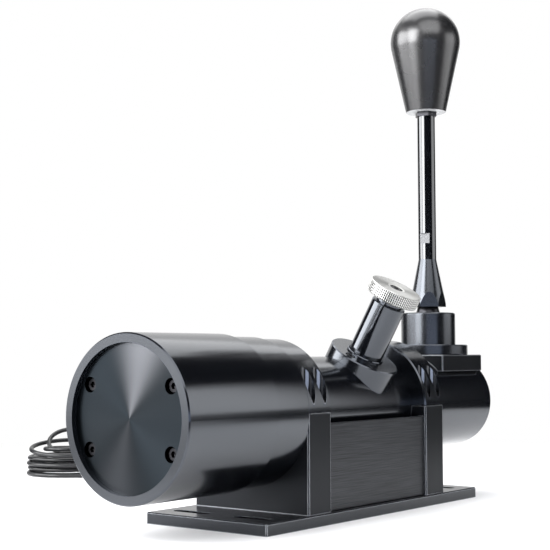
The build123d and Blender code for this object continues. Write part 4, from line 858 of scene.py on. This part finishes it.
# Painted shade: the rim's knurl grooves are painted darker towards their floor.
above = add(tree, "Math", {0: up, 1: dial_chamfer}, operation="GREATER_THAN").outputs[0]
below = add(tree, "Math", {0: up, 1: dial_height - dial_chamfer}, operation="LESS_THAN").outputs[0]
band = add(tree, "Math", {0: above, 1: below}, operation="MULTIPLY").outputs[0]
groove = {"Value": reach, "From Min": dial_radius - groove_shade_begins, "From Max": dial_radius - groove_shade_full}
sunk = add(tree, "MapRange", groove).outputs["Result"]
painted_groove_shade = add(tree, "Math", {0: sunk, 1: band}, operation="MULTIPLY").outputs[0]
tone = add(tree, "Mix", {0: painted_groove_shade, 6: cut, 7: linear("#202020")}, data_type="RGBA")
feed(tree, turned, {"Metallic": 1.0, "Base Color": tone.outputs[2]})
feed(tree, turned, {"Roughness": shine.outputs["Result"]})
finished("knurled_dial", shape, bare_aluminium, "dial", "aluminium", "adjuster_dial")

seats = [on_adjuster(dial_start + pocket_floor)]
cap_screws("dial_cap_screw", "dial_screw", seats, leaning, dial_thread, dial_grip, "dial")

# The floor is matt white paper. Past the object's shadow it fades into the plain white of
# the backdrop, which the world gives from the floor's edge up.
paper_half, fade_start, fade_end = 6.0, 0.17, 0.6
sheet = bmesh.new()
corners = [(-1, -1), (1, -1), (1, 1), (-1, 1)]
sheet.faces.new([sheet.verts.new((x * paper_half, y * paper_half, 0)) for x, y in corners])
floor = placed("paper_floor", meshed("paper_floor", sheet))
paper, tree, matt = new_material("white paper")
feed(tree, matt, {"Base Color": linear("#f2f2f3"), "Roughness": 0.95})
feed(tree, matt, {"Specular IOR Level": 0.2})
reach = add(tree, "VectorMath", {0: add(tree, "TexCoord").outputs["Object"]}, operation="LENGTH")
fade_sizes = {"Value": reach.outputs["Value"], "From Min": fade_start, "From Max": fade_end}
fade = add(tree, "MapRange", fade_sizes, interpolation_type="SMOOTHSTEP").outputs["Result"]


def seen_rays(tree):
    """One for what the camera sees, straight or in a mirror or a glass, and else nought."""
    rays = add(tree, "LightPath").outputs
    straight = {0: rays["Is Camera Ray"], 1: rays["Is Glossy Ray"]}
    mirrored = add(tree, "Math", straight, operation="ADD").outputs[0]
    through = {0: mirrored, 1: rays["Is Transmission Ray"]}
    return add(tree, "Math", through, operation="ADD", use_clamp=True).outputs[0]


share = add(tree, "Math", {0: seen_rays(tree), 1: fade}, operation="MULTIPLY").outputs[0]
plain = add(tree, "Emission", {"Color": linear("#ffffff"), "Strength": 1.0}).outputs[0]
mixed = add(tree, "MixShader", {0: share, 1: matt.outputs[0], 2: plain}).outputs[0]
tree.links.new(mixed, tree.nodes["Material Output"].inputs["Surface"])
floor.data.materials.append(paper)

# The lamps are soft boxes. At the left a bright strip draws the lever's white line, a box
# lights the drum's rim and a low one the end disc. Two above light the floor and the knob,
# two behind draw grey bands along the tube, and a low cool one lifts the front stand.
look_at = Vector((0, 0.05, 0.1))


def softbox(name, place, width, height, brightness, colour="#ffffff"):
    """A lamp facing the object, as bright as a surface of that brightness."""
    lamp = bpy.data.lights.new(name, "AREA")
    lamp.shape = "RECTANGLE"
    lamp.color = linear(colour)[:3]
    lamp.size, lamp.size_y = width, height
    lamp.energy = brightness * math.pi * width * height
    holder = placed(name, lamp)
    holder.location = place
    holder.rotation_euler = (look_at - Vector(place)).to_track_quat("-Z", "Y").to_euler()
    holder.visible_camera = False


softbox("left_strip", (-0.28, -1.22, 0.62), 0.75, 1.04, 11.0)
softbox("left_box", (-1.18, -0.87, 0.64), 1.1, 0.86, 7.0)
softbox("rim_box", (-0.93, -1.12, 0.09), 0.6, 0.18, 1.6)
softbox("top_box", (-0.35, 0.35, 1.7), 1.5, 1.3, 3.0)
softbox("rear_box", (-0.6, 0.9, 1.35), 1.4, 1.0, 1.5)
softbox("crown_box", (0.85, -0.60, 1.30), 1.6, 1.3, 2.4)
softbox("low_box", (1.10, 0.72, 0.42), 0.9, 0.6, 1.1)
softbox("front_strip", (1.2, -1.05, 0.11), 1.4, 0.18, 2.0, "#dce8ff")


# Black cards stand and lie round the object, out of the camera's sight. The dark they
# throw into the polished metal gives it its black between the lamps' lines.
def black_card(name, start, end, foot, head):
    """A curved card between two bearings from the driver's right. Its foot and its head are
    each a radius and a height. One that lies flat only shows in mirrors."""
    shape = bmesh.new()
    turns = 24
    columns = []
    for i in range(turns + 1):
        angle = math.radians(start + (end - start) * i / turns)
        way = Vector((math.cos(angle), math.sin(angle), 0))
        ends = [way * radius + Vector((0, 0, z)) for radius, z in (foot, head)]
        columns.append([shape.verts.new(end_point) for end_point in ends])
    for first, second in zip(columns, columns[1:]):
        shape.faces.new([first[0], second[0], second[1], first[1]])
    card = placed(name, meshed(name, shape))
    card.data.materials.append(black_felt)
    card.visible_camera = False
    card.visible_shadow = False
    card.visible_diffuse = head[1] > foot[1]


black_felt, tree, felt = new_material("black felt")
feed(tree, felt, {"Base Color": linear("#101114"), "Roughness": 1.0, "Specular IOR Level": 0.0})
card_lift = 3 * mm
black_card("front_card", -90, 15, (2.0, 0), (2.0, 1.5))
black_card("floor_card", -95, 15, (0.42, card_lift), (2.0, card_lift))
black_card("side_card", 35, 85, (0.4, card_lift), (1.2, card_lift))
black_card("coil_card", 150, 215, (0.36, card_lift), (2.0, card_lift))
black_card("low_card", 15, 58, (1.2, 0), (1.2, 0.1))
black_card("back_card", 56, 92, (1.4, 0), (1.4, 0.9))
black_card("high_card", 5, 88, (1.4, 0.85), (1.4, 1.6))
black_card("left_card", 163, 197, (2.0, 0), (2.0, 1.5))

# The world: a white backdrop that ends in a dark ceiling well above the object, and a
# plain grey light from all round for matt surfaces.
world = bpy.data.worlds.new("studio")
bpy.context.scene.world = world
world.use_nodes = True
tree = world.node_tree
tree.nodes.clear()
upward = add(tree, "SeparateXYZ", {0: add(tree, "TexCoord").outputs["Generated"]}).outputs["Z"]
rise = {"Value": upward, "From Min": 0.42, "From Max": 0.76}
ceiling = add(tree, "MapRange", rise, interpolation_type="SMOOTHSTEP").outputs["Result"]
walls = {0: ceiling, 6: linear("#ffffff"), 7: linear("#17181c")}
wall = add(tree, "Mix", walls, data_type="RGBA")
backdrop = add(tree, "Background", {"Color": wall.outputs[2], "Strength": 1.0})
fill = add(tree, "Background", {"Color": linear("#dfe1e4"), "Strength": 0.7})
both = add(tree, "MixShader", {0: seen_rays(tree), 1: fill.outputs[0], 2: backdrop.outputs[0]})
add(tree, "OutputWorld", {"Surface": both.outputs[0]})
